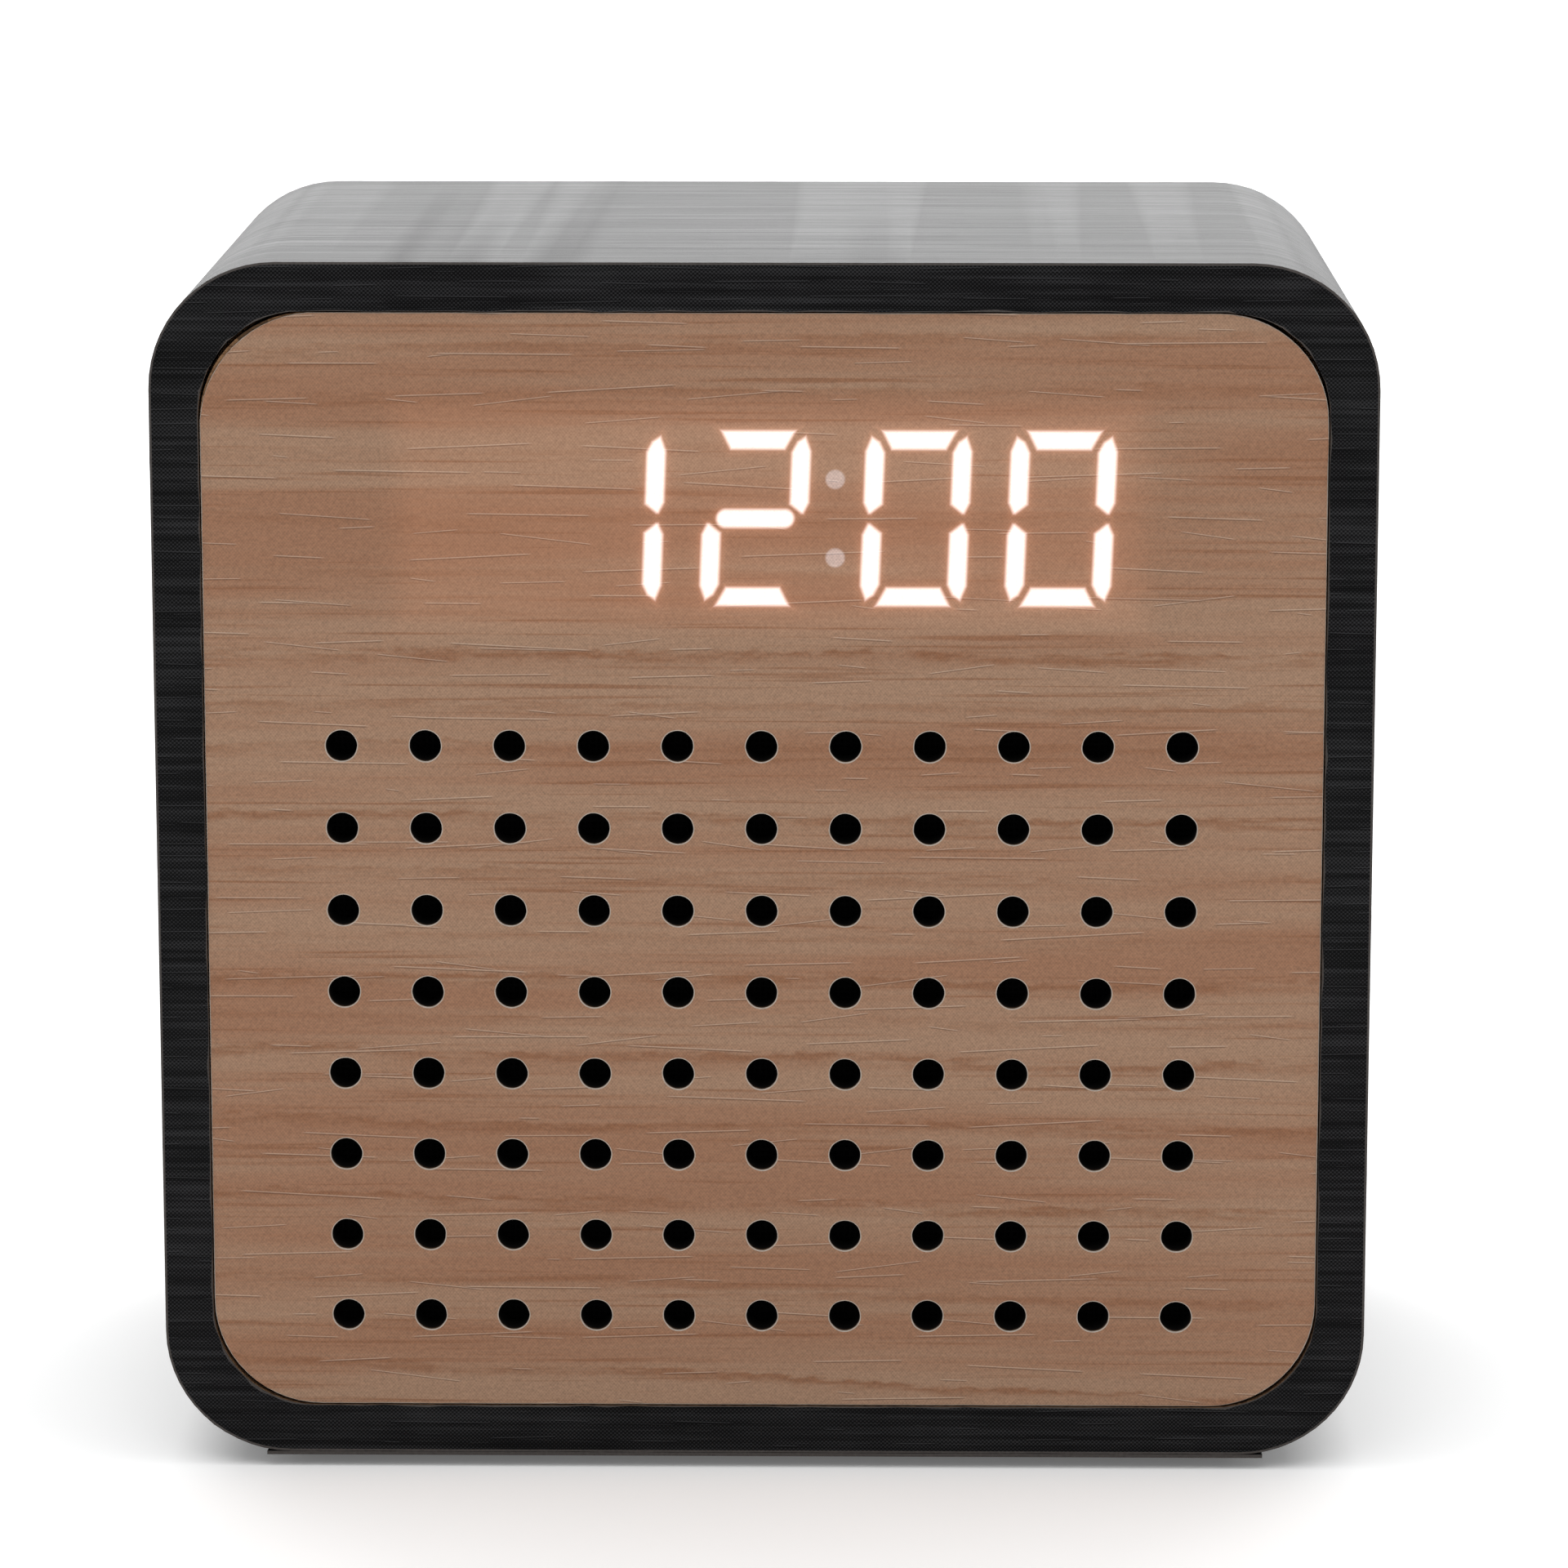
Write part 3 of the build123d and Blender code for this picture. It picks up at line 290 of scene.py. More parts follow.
def pore_lines(finish, along, across, length, spacing, width):
    """Pressed pores scattered one to a cell: gives the raised lip and the groove below it."""
    row = finish.math("FLOOR", across / spacing)
    shift = finish.add("TexWhiteNoise", {"noise_dimensions": "1D"}, {"W": row})
    run = along / length + shift * 9
    cell = finish.math("FLOOR", run)
    spot = finish.joined(cell, row, 3)
    luck = finish.add("TexWhiteNoise", {}, {"Vector": spot}, "Color")
    rise, reach, tilt = [finish.add("SeparateColor", {}, {0: luck}, part) for part in range(3)]
    part = run - cell - 0.5
    middle = (row + 0.2 + 0.6 * rise + part * (tilt - 0.5) * 0.5) * spacing
    off = across - middle
    end = reach * 0.36 + 0.08
    inside = finish.smooth(abs(part), end, end - 0.05)
    lip = inside * finish.smooth(abs(off - width / 2), width * 0.6, width * 0.3)
    groove = inside * finish.smooth(abs(off + width / 2), width * 0.6, width * 0.3)
    return lip, groove


def black_film(name, along, across, stretch):
    """The black decor film, with its grain along one way and its pores across the other."""
    film = Finish(name, roughness=0.42, specular_ior_level=0.07)
    run = along(film)
    over = across(film)
    diagonal = film.waves(run, EMBOSS_ALONG) * film.waves(over, EMBOSS_ACROSS)
    streaks = film.cloud(stretch, 3)
    cloud = film.cloud((7, 7, 7), 2)
    lip, groove = pore_lines(film, run, over, 11, 1.5, 0.09)
    fine_lip, fine_groove = pore_lines(film, run + 3, over + 0.6, 4.5, 0.8, 0.06)
    raised = 0.5 + 0.30 * diagonal + 0.8 * (streaks - 0.5)
    shade = film.smooth(raised + 0.3 * (cloud - 0.5), 0.30, 1.05)
    # Painted highlight on each pore's raised lip; the groove below is darkened, partly the printed pore
    # and partly painted shade.
    shade = shade + 0.45 * lip + 0.25 * fine_lip - 0.3 * groove
    film.give("Base Color", film.mixed(shade, BLACK_LOW, BLACK_HIGH))
    film.give("Roughness", 0.32 + 0.24 * streaks + 0.05 * diagonal)
    film.bump(raised + 0.5 * lip - 0.8 * groove + 0.2 * fine_lip - 0.4 * fine_groove, 0.012)
    return film


def cut_edge(name, colour):
    """The film's own thickness, seen where a knife or a drill went through it."""
    edge = Finish(name, roughness=0.75, specular_ior_level=0.15)
    torn = edge.cloud((0.3, 0.1, 0.3), 3)
    edge.give("Base Color", edge.mixed(torn, [0.45 * part for part in colour], colour))
    edge.bump(torn, 0.02)
    return edge


def round_the_case(film):
    """Length along the film, from the middle of the top, over one corner after another."""
    up = film.z - FACE_Z
    turn = CASE_SIZE / 2 - CASE_RADIUS * (1 - math.sqrt(0.5))
    beside = abs(film.x) > abs(up)
    above = up > 0
    right = film.x > 0
    level = above * film.x + (1 - above) * (4 * turn - film.x)
    upright = right * (2 * turn - up) + (1 - right) * (up - 2 * turn)
    return beside * upright + (1 - beside) * level


wrap_finish = black_film("wrap_film", round_the_case, lambda film: film.y, (30.9, 0.5, 28))
black_edge = cut_edge("black_film_edge", BLACK_CUT)
wrap_points, wrap_faces = stitch(film_loops(CASE_SIZE, CASE_RADIUS, CASE_FRONT, CASE_BACK))
wrap = new_piece("wrap_film", wrap_points, wrap_faces, wrap_finish, black_edge)
for face in wrap.data.polygons:
    if abs(face.normal.y) > 0.3:
        face.material_index = 1
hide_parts("case_wrap_film")
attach(wrap, "case")


# ---- rim films ------------------------------------------------------------------------------
# The tube's raw ends are faced with frames die-cut from the same film, grain level, front and
# rear. Their inner edge follows the opening a little unevenly.
OPENING_SIZE = 92.0
OPENING_RADIUS = 8.5
DIE_WANDER = 0.10

rim_finish = black_film("rim_film", lambda film: film.x, lambda film: film.z, (22, 22, 0.45))


def rim_film(name, node, face, inside):
    """A flat frame of film from its face at one depth to its glued side at another."""
    outer = CASE_SIZE - 2 * FILM
    sunk = face + (CUT_BEVEL if inside > face else -CUT_BEVEL)
    loops = [
        round_square(outer, CASE_RADIUS - FILM, inside),
        round_square(outer, CASE_RADIUS - FILM, face),
        round_square(OPENING_SIZE + 2 * CUT_BEVEL, OPENING_RADIUS + CUT_BEVEL, face, DIE_WANDER),
        round_square(OPENING_SIZE, OPENING_RADIUS, sunk, DIE_WANDER / 2),
        round_square(OPENING_SIZE, OPENING_RADIUS, inside),
    ]
    points, faces = stitch(loops)
    rim = new_piece(name, points, faces, rim_finish, black_edge)
    for number, quad in enumerate(rim.data.polygons):
        if number // len(loops[0]) in (2, 3):
            quad.material_index = 1
    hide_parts(node)
    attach(rim, "case")


rim_film("front_rim", "front_rim_film", CASE_FRONT, CASE_FRONT + FILM)
rim_film("rear_rim", "rear_rim_film", CASE_BACK, CASE_BACK - FILM)


# ---- base strip -----------------------------------------------------------------------------
# A strip of thicker film covers the seam of the wrap under the case. It is cut by hand, so its
# two ends are ragged and stand just proud of the rounded corners.
strip_low, strip_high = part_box("base_strip")
STRIP_STEPS = 90
STRIP_RAG = 0.35

strip_finish = black_film("strip_film", lambda film: film.x, lambda film: film.y, (30.9, 0.5, 28))
strip_loops = []
for step in range(STRIP_STEPS + 1):
    depth = strip_low.y + (strip_high.y - strip_low.y) * step / STRIP_STEPS
    left_rag = abs(noise.noise((0.3, depth / MM * 0.9, 0))) * STRIP_RAG * MM
    right_rag = abs(noise.noise((7.1, depth / MM * 0.8, 0))) * STRIP_RAG * MM
    left = strip_low.x + left_rag
    right = strip_high.x - right_rag
    section = [(left, strip_low.z), (right, strip_low.z), (right, strip_high.z), (left, strip_high.z)]
    strip_loops.append([Vector((x, depth, z)) for x, z in section])
strip_points, strip_faces = stitch(strip_loops, closed=False)
strip_end = len(strip_points)
strip_faces += [(0, 1, 2, 3), (strip_end - 4, strip_end - 3, strip_end - 2, strip_end - 1)]
strip = new_piece("base_strip_film", strip_points, strip_faces, strip_finish, black_edge)
for face in strip.data.polygons:
    if abs(face.normal.z) < 0.5:
        face.material_index = 1
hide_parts("base_strip")
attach(strip, "case")


# ---- feet and corner blocks -----------------------------------------------------------------
# Four punched rubber discs are stuck under the strip. Four fibreboard blocks, glued into the
# corners of the tube, stop the front board and take the rear cover's screws.
RUBBER_LOW = (0.010, 0.010, 0.011)
RUBBER_HIGH = (0.028, 0.028, 0.030)

rubber = Finish("soft_rubber", roughness=0.8, specular_ior_level=0.25)
rubber_dust = rubber.cloud((0.4, 0.4, 0.4), 4)
rubber.give("Base Color", rubber.mixed(rubber.smooth(rubber_dust, 0.35, 0.7), RUBBER_LOW, RUBBER_HIGH))
rubber.bump(rubber_dust, 0.03)
dress(rubber, "feet")
dress(fibreboard("block_fibreboard"), "corner_blocks")


# ---- display module -------------------------------------------------------------------------
# A white moulded reflector holds milky resin bars in the shape of four digits, two dots and two
# signs, with a light chip behind each. It screws to the back of the front board.
RESIST_DARK = (0.010, 0.085, 0.030)
RESIST_LIGHT = (0.022, 0.150, 0.050)
TINNED = (0.62, 0.60, 0.55)
CHIP_BODY = (0.7, 0.7, 0.68)
CHIP_PHOSPHOR = (0.75, 0.6, 0.12)
RIBBON_PITCH = 1.27
RIBBON_MARK = -5.7
DIGIT_CENTRES = (-12.5, -0.7, 12.4, 24.2)
DIGIT_Z = 29.07
DIGIT_HALF_WIDTH = 4.4
DIGIT_HALF_HEIGHT = 7.3
BAR_WIDTH = 1.7
DIGIT_SLANT = 2.2
COLON_X = 5.82
COLON_RISE = 3.23
COLON_RADIUS = 0.9
TIP_GAP = 0.45
LEVEL_GAP = 1.25
LEVEL_TAPER = 0.9
MIDDLE_GAP = 1.15


def moulded(name, low, high, roughness, grit=0.25, depth=0.02):
    """A moulded plastic whose skin carries the fine spark texture of its mould."""
    plastic = Finish(name, roughness=roughness, specular_ior_level=0.4)
    sparks = plastic.cloud((grit, grit, grit), 4)
    flow = plastic.cloud((14, 14, 14), 2)
    shade = plastic.smooth(sparks * 0.6 + flow * 0.4, 0.3, 0.7)
    plastic.colour = plastic.mixed(shade, low, high)
    plastic.give("Base Color", plastic.colour)
    plastic.give("Roughness", roughness - 0.06 + 0.12 * flow)
    plastic.bump(sparks, depth)
    return plastic


def circuit_board(name, pitch):
    """Green resist over copper tracks, with tinned pads where the pitch puts them."""
    board = Finish(name, roughness=0.42, specular_ior_level=0.5)
    track = board.most(board.waves(board.x, pitch), board.waves(board.z + board.x * 0.5, pitch * 1.7))
    runs = board.smooth(track, 0.72, 0.8)
    pad = board.smooth(board.waves(board.x, pitch * 2) * board.waves(board.z, pitch * 2), 0.86, 0.9)
    green = board.mixed(runs, RESIST_DARK, RESIST_LIGHT)
    board.give("Base Color", board.mixed(pad, green, TINNED))
    board.give("Metallic", pad)
    board.bump(runs + pad, 0.03)
    return board


def plated(name, low, high, roughness, stretch):
    """Plated or drawn metal with fine lines left by the rolling or turning."""
    metal = Finish(name, metallic=1.0, roughness=roughness)
    lines = metal.cloud(stretch, 4)
    stain = metal.cloud((3, 3, 3), 3)
    metal.colour = metal.mixed(metal.smooth(lines * 0.6 + stain * 0.4, 0.3, 0.7), low, high)
    metal.give("Base Color", metal.colour)
    metal.give("Roughness", roughness - 0.1 + 0.2 * stain)
    metal.bump(lines, 0.008)
    return metal


milky = Finish("milky_resin", roughness=0.45, specular_ior_level=0.4, emission_strength=1.0)
milk = milky.cloud((0.8, 0.8, 0.8), 3)
milky.give("Base Color", milky.mixed(milk, (0.62, 0.60, 0.56), (0.78, 0.76, 0.72)))
milky.give("Emission Color", (0.35, 0.34, 0.33))
milky.bump(milk, 0.01)
dress(milky, "digit_1", "digit_2", "digit_3", "digit_4", "colon_dots")

unlit = moulded("unlit_resin", (0.55, 0.53, 0.50), (0.68, 0.66, 0.62), 0.5)
dress(unlit, "indicator_signs")
dress(moulded("white_reflector", (0.66, 0.66, 0.64), (0.80, 0.80, 0.78), 0.5), "display_reflector")

chip_low, chip_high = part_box("led_chips")
chips = Finish("light_chips", roughness=0.35, emission_strength=1.0)
phosphor = chips.smooth(chips.y, chip_low.y / MM + 0.05, chip_low.y / MM)
speckle = chips.cloud((0.1, 0.1, 0.1), 3)
chips.give("Base Color", chips.mixed(phosphor * (0.7 + 0.3 * speckle), CHIP_BODY, CHIP_PHOSPHOR))
chips.bump(speckle, 0.01)
dress(chips, "led_chips")
dress(circuit_board("display_board", 1.5), "display_pcb")

steel = plated("plated_steel", (0.42, 0.42, 0.43), (0.66, 0.66, 0.66), 0.3, (0.1, 1.2, 0.1))
dress(steel, "display_screws", "speaker_screws", "pcb_screws")

ribbon = Finish("ribbon_cable", roughness=0.5, specular_ior_level=0.4)
cores = ribbon.waves(ribbon.x, RIBBON_PITCH)
marked = ribbon.x < RIBBON_MARK
# Painted shade: the grey insulation is darker in the grooves between the cores.
grey_cores_groove_shade = ribbon.mixed(ribbon.smooth(cores, -0.9, 0.2), (0.20, 0.20, 0.21), (0.42, 0.42, 0.44))
ribbon.give("Base Color", ribbon.mixed(marked, grey_cores_groove_shade, (0.45, 0.03, 0.02)))
ribbon.bump(cores * 0.5 + 0.5, 0.15)
dress(ribbon, "display_ribbon")


# ---- front board ----------------------------------------------------------------------------
# A 3 mm fibreboard plate fills the opening, drilled with a grid of sound holes and a window for
# the display. The hole walls carry painted shade, near black, a little lighter at the front face.
HOLE_COLUMNS = 11
HOLE_ROWS = 8
HOLE_PITCH = 6.9
HOLE_RADIUS = 1.3
GRILLE_X = -0.2
GRILLE_HEIGHT = -14.0
HOLE_SHADE_WIDTH = 0.25
board_low, board_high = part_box("front_board")

board_finish = fibreboard("front_fibreboard")
column_wave = (board_finish.x - GRILLE_X) / HOLE_PITCH
row_wave = (board_finish.z - FACE_Z - GRILLE_HEIGHT) / HOLE_PITCH - 0.5
from_column = column_wave - board_finish.math("ROUND", column_wave)
from_row = row_wave - board_finish.math("ROUND", row_wave)
squared = from_column * from_column + from_row * from_row
from_hole = board_finish.math("SQRT", squared) * HOLE_PITCH
# Painted shade: the walls of the sound holes are darkened to near black, less so just behind the front
# face.
hole_shade = board_finish.smooth(from_hole, HOLE_RADIUS + HOLE_SHADE_WIDTH, HOLE_RADIUS + HOLE_SHADE_WIDTH / 2)
mouth = board_finish.smooth(board_finish.y, board_low.y / MM + 0.5, board_low.y / MM)
hole_shade = hole_shade * (1 - 0.35 * mouth)
board_finish.give("Base Color", board_finish.mixed(hole_shade, board_finish.colour, (0.0035, 0.0026, 0.0020)))
dress(board_finish, "front_board")


# ---- front film -----------------------------------------------------------------------------
# The front board is faced with a printed maple film. The drill lifts a thin pale lip round each
# sound hole. The film is thin enough for the lit bars behind it to shine through.
film_low, film_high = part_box("front_film")
FILM_FRONT = film_low.y / MM
FILM_BACK = film_high.y / MM
BOARD_SIZE = (film_high.x - film_low.x) / MM
BOARD_RADIUS = 8.9
HOLE_STEPS = 44
HOLE_TEAR = 0.035
LIP = 0.08
LIP_DEPTH = 0.05
TRIM = 0.28
WINDOW_X = 0.5
WINDOW_Z = 29.3
WINDOW_HALF_WIDTH = 31.0
WINDOW_HALF_HEIGHT = 9.8
MAPLE_EMBOSS_ALONG = 0.26
MAPLE_PALE = (0.328, 0.198, 0.125)
MAPLE_WARM = (0.292, 0.146, 0.082)
MAPLE_STREAK = (0.228, 0.096, 0.043)
MAPLE_EDGE = (0.62, 0.53, 0.45)
GLOW_CORE = (1.15, 1.00, 0.97)
GLOW_EDGE = (0.15, 0.06, 0.035)
GLOW_NEAR = (0.020, 0.006, 0.004)
GLOW_WINDOW = (0.054, 0.021, 0.010)
GLOW_DOT = (0.21, 0.22, 0.24)
GLOW_EDGE_REACH = 0.25
GLOW_NEAR_REACH = 3.0
SOFT_EDGE = 0.25
UNLIT = 20
RING_FADE = 1.0
RING_START = 0.35
# Height of each darker year ring where it crosses the middle, and how strong it is.
STREAKS_ABOVE = (
    (4.4, 0.9), (10.2, 0.6), (13.5, 0.55), (17.8, 1.0), (21.2, 0.25), (24.7, 0.3),
    (29.2, 0.45), (34.9, 0.25), (39.6, 0.5), (43.6, 0.6),
)
STREAKS_BELOW = (
    (-43.4, 0.9), (-35.8, 0.6), (-28.7, 0.9), (-21.8, 0.9), (-16.0, 0.9), (-12.9, 0.35),
    (-9.5, 0.85), (-6.0, 0.35), (-0.6, 0.55),
)


def year_rings(film, level, streaks, low, high):
    """Darker rings across the board: each has a crisp upper side and fades out below."""
    stops = []
    for height, strength in streaks:
        stops += [(height - RING_FADE, 0), (height, strength), (height + RING_START, 0)]
    placed = [((height - low) / (high - low), strength) for height, strength in stops]
    return film.add("ValToRGB", {"stops": placed}, {0: (level - low) / (high - low)})


def upright_bar():
    """The outline of an upright bar, for the digit's upper right quarter."""
    outer = DIGIT_HALF_WIDTH
    inner = outer - BAR_WIDTH
    tip = DIGIT_HALF_HEIGHT - TIP_GAP
    return [
        (outer, 1.3), (outer, tip - 1.3), (outer - 0.5, tip), (inner + 0.45, tip - 0.5),
        (inner, tip - 1.4), (inner, 1.15), (inner + 1.0, 0.35), (outer - 0.45, 0.35),
    ]


def level_bar():
    """The outline of the top bar, wider on its outer side, for the digit's upper right quarter."""
    outer = DIGIT_HALF_HEIGHT
    inner = outer - BAR_WIDTH
    half = DIGIT_HALF_WIDTH - LEVEL_GAP
    return [(half, outer), (-half, outer), (LEVEL_TAPER - half, inner), (half - LEVEL_TAPER, inner)]


def off_outline(film, across, up, outline):
    """Distance outside a convex outline listed anticlockwise, negative inside it."""
    sides = []
    for (x, z), (next_x, next_z) in zip(outline, outline[1:] + outline[:1]):
        length = math.hypot(next_x - x, next_z - z)
        side_x = (next_z - z) / length
        side_z = (x - next_x) / length
        sides.append(across * side_x + up * side_z - (x * side_x + z * side_z))
    return film.most(*sides)


def lit_bars(film, across, up):
    """Distance from the nearest lit bar of 12:00, in mm: bars that are off are moved far away."""
    lean = math.tan(math.radians(DIGIT_SLANT))
    upright = across - (up - DIGIT_Z) * lean
    middle = DIGIT_CENTRES[0]
    for left, right in zip(DIGIT_CENTRES, DIGIT_CENTRES[1:]):
        middle = middle + (right - left) * (upright > (left + right) / 2)
    first = upright < (DIGIT_CENTRES[0] + DIGIT_CENTRES[1]) / 2
    second = (upright < (DIGIT_CENTRES[1] + DIGIT_CENTRES[2]) / 2) - first
    inside = upright - middle
    above = up - DIGIT_Z
    uprights = off_outline(film, abs(inside), abs(above), upright_bar())
    levels = off_outline(film, abs(inside), abs(above), level_bar())
    half = DIGIT_HALF_WIDTH - MIDDLE_GAP - BAR_WIDTH / 2
    past = film.most(abs(inside) - half, 0)
    stadium = film.math("SQRT", past * past + above * above) - BAR_WIDTH / 2
    dark = UNLIT * (first * (inside < 0) + second * (inside * above < 0))
    return film.least(uprights + dark, levels + UNLIT * first, stadium + UNLIT * (1 - second))


def shining_through(film, across, up, weave):
    """What the display adds to the film: white bars, pale dots and a warm window round them."""
    off = lit_bars(film, across, up)
    blur = 0.05 * (weave - 0.5)
    core = film.smooth(off + blur, 0.10, -0.36)
    edge = film.math("EXPONENT", -film.most(off, 0) / GLOW_EDGE_REACH)
    near = film.math("EXPONENT", -film.most(off, 0) / GLOW_NEAR_REACH)
    aside = across - COLON_X
    below = abs(up - DIGIT_Z) - COLON_RISE
    from_dot = film.math("SQRT", aside * aside + below * below)
    dots = film.smooth(from_dot, COLON_RADIUS, COLON_RADIUS - SOFT_EDGE)
    past_side = abs(across - WINDOW_X) - WINDOW_HALF_WIDTH
    edges = film.most(past_side, abs(up - WINDOW_Z) - WINDOW_HALF_HEIGHT)
    window = film.smooth(edges, 1.2, -2.4)
    glow = (0, 0, 0)
    shares = (
        (GLOW_WINDOW, window * (0.8 + 0.4 * film.cloud((9, 9, 5), 2))),
        (GLOW_NEAR, near * window),
        (GLOW_EDGE, edge * window),
        (GLOW_DOT, dots * (0.8 + 0.4 * weave)),
        (GLOW_CORE, core * (0.80 + 0.34 * weave)),
    )
    for colour, share in shares:
        part = film.add("VectorMath", {"operation": "SCALE"}, {0: colour, "Scale": share})
        glow = film.add("VectorMath", {"operation": "ADD"}, {0: glow, 1: part})
    return glow


def maple_film():
    film = Finish("maple_film", specular_ior_level=0.28, emission_strength=1.0)
    across = film.x
    up = film.z - FACE_Z
    drift = film.cloud((34, 34, 16), 1) - 0.5
    ripple = film.cloud((5, 5, 2.2), 2) - 0.5
    fray = film.cloud((1.6, 1.6, 0.6), 4) - 0.5
    tilt = across / BOARD_SIZE * (0.0014 * up * abs(up) - 0.85)
    level = up - tilt + 2.4 * drift + 0.7 * ripple + 1.5 * fray
    above = year_rings(film, level, STREAKS_ABOVE, 0, BOARD_SIZE / 2)
    below = year_rings(film, level, STREAKS_BELOW, -BOARD_SIZE / 2, 0)
    rings = film.most(above * (level > 0), below * (level < 0))
    strands = film.cloud((24, 24, 0.42), 3)
    broken = film.cloud((5, 5, 0.6), 3)
    rings = rings * film.smooth(broken * 0.6 + strands * 0.4, 0.30, 0.60)
    rings = film.most(rings, 0.7 * film.smooth(strands, 0.58, 0.72))
    bands = film.smooth(film.cloud((90, 90, 5), 2), 0.32, 0.68)
    speck = film.cloud((0.26, 0.26, 0.20), 3)
    diagonal = film.waves(across, MAPLE_EMBOSS_ALONG) * film.waves(up, EMBOSS_ACROSS)
    weave = film.least(film.most(0.5 + 0.22 * diagonal + 1.5 * (speck - 0.5), 0), 1)
    lip, groove = pore_lines(film, across, up, 14, 3.4, 0.10)
    thin_lip, thin_groove = pore_lines(film, across + 5, up + 0.8, 9, 5.2, 0.08)
    raised_lip = film.most(lip, thin_lip)
    sunk_groove = film.most(groove, thin_groove)
    ground = film.mixed(film.smooth(strands * 0.5 + bands * 0.5, 0.25, 0.75), MAPLE_PALE, MAPLE_WARM)
    printed = film.mixed(rings, ground, MAPLE_STREAK)
    darker = film.add("VectorMath", {"operation": "SCALE"}, {0: printed, "Scale": 0.74 + 0.52 * weave})
    # Painted highlight: the pores' raised lips are paler. The grooves below are darkened, partly the
    # printed pore and partly painted shade.
    marked = film.mixed(0.26 * raised_lip, darker, (0.75, 0.60, 0.48))
    film.give("Base Color", film.mixed(0.50 * sunk_groove, marked, (0.10, 0.05, 0.03)))
    film.give("Roughness", 0.46 + 0.12 * weave)
    film.bump(0.4 * weave + 0.5 * raised_lip - 0.9 * sunk_groove, 0.012)
    film.give("Emission Color", shining_through(film, across, up, weave))
    return film


def hole_loop(x, z, radius, depth):
    points = []
    for step in range(HOLE_STEPS):
        angle = 2 * math.pi * step / HOLE_STEPS
        torn = radius + HOLE_TEAR * noise.noise((x + math.cos(angle), z, math.sin(angle) * 2 + depth))
        point = Vector((x + torn * math.cos(angle), depth, FACE_Z + z + torn * math.sin(angle)))
        points.append(point * MM)
    return points


def add_wall(work, loops, finish_index):
    """Quads between loops of vertices, one after the other."""
    for here, there in zip(loops, loops[1:]):
        for step in range(len(here)):
            after = (step + 1) % len(here)
            face = work.faces.new((here[step], here[after], there[after], there[step]))
            face.material_index = finish_index


def front_film():
    """The film as a thin closed sheet: outline and sound holes each have a bevelled cut edge."""
    work = bmesh.new()
    face_size = BOARD_SIZE - 2 * CUT_BEVEL
    sets = [[
        round_square(face_size, BOARD_RADIUS - CUT_BEVEL, FILM_FRONT, KNIFE_WANDER, TRIM),
        round_square(BOARD_SIZE, BOARD_RADIUS, FILM_FRONT + LIP_DEPTH, 0, TRIM),
        round_square(BOARD_SIZE, BOARD_RADIUS, FILM_BACK, 0, TRIM),
    ]]
    for row in range(HOLE_ROWS):
        z = GRILLE_HEIGHT + HOLE_PITCH * (row - (HOLE_ROWS - 1) / 2)
        for column in range(HOLE_COLUMNS):
            x = GRILLE_X + HOLE_PITCH * (column - (HOLE_COLUMNS - 1) / 2)
            sets.append([
                hole_loop(x, z, HOLE_RADIUS + LIP, FILM_FRONT),
                hole_loop(x, z, HOLE_RADIUS, FILM_FRONT + LIP_DEPTH),
                hole_loop(x, z, HOLE_RADIUS, FILM_BACK),
            ])
    face_rims = []
    back_rims = []
    for loops in sets:
        made = [[work.verts.new(point) for point in loop] for loop in loops]
        add_wall(work, made, 1)
        face_rims.append(made[0])
        back_rims.append(made[-1])
    for rims, finish_index in ((face_rims, 0), (back_rims, 1)):
        edges = []
        for rim in rims:
            for step in range(len(rim)):
                edges.append(work.edges.get((rim[step], rim[(step + 1) % len(rim)])))
        filled = bmesh.ops.triangle_fill(work, edges=edges, use_beauty=True)
        for face in filled["geom"]:
            if isinstance(face, bmesh.types.BMFace):
                face.material_index = finish_index
    return work


maple_edge = cut_edge("maple_film_edge", MAPLE_EDGE)
maple_front = finished_piece("maple_front", front_film(), maple_film(), maple_edge)
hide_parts("front_film")
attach(maple_front, "case")


# ---- speaker --------------------------------------------------------------------------------
# A small round driver with a lacquered steel basket is screwed behind the sound holes, with an
# open black cloth in front of it and a foam ring between the two.
SPEAKER_Z = FACE_Z + GRILLE_HEIGHT

cloth = Finish("grille_cloth", roughness=0.95, specular_ior_level=0.1)
warp = cloth.waves(cloth.x, 0.5)
weft = cloth.waves(cloth.z, 0.5)
thread = cloth.most(warp, weft) * 0.5 + 0.5
cloth.give("Base Color", cloth.mixed(thread, (0.0006, 0.0006, 0.0006), (0.0040, 0.0040, 0.0042)))
cloth.bump(thread, 0.08)
dress(cloth, "speaker_cloth")

foam = Finish("closed_foam", roughness=0.95, specular_ior_level=0.1)
cells = foam.add("TexVoronoi", {}, {"Vector": foam.place, "Scale": 2.5})
cell_wall = foam.smooth(cells, 0.1, 0.6)
# Painted shade: the hollows of the cut cells are darker than their walls.
foam.give("Base Color", foam.mixed(cell_wall, (0.006, 0.006, 0.006), (0.045, 0.045, 0.047)))
foam.bump(cells, 0.12)
dress(foam, "speaker_gasket")

lacquer = moulded("basket_lacquer", (0.008, 0.008, 0.009), (0.020, 0.020, 0.022), 0.38, 0.5, 0.01)
dress(lacquer, "speaker_basket")
turned_steel = plated("turned_steel", (0.40, 0.40, 0.42), (0.60, 0.60, 0.60), 0.35, (2.5, 0.08, 2.5))
dress(turned_steel, "top_plate", "yoke")

ferrite = Finish("ferrite", roughness=0.7, specular_ior_level=0.4)
sinter = ferrite.cloud((0.35, 0.35, 0.35), 5)
ferrite.give("Base Color", ferrite.mixed(sinter, (0.018, 0.018, 0.020), (0.085, 0.085, 0.090)))
ferrite.bump(sinter, 0.05)
dress(ferrite, "magnet")


def from_speaker_axis(finish):
    up = finish.z - SPEAKER_Z
    return finish.math("SQRT", finish.x * finish.x + up * up)


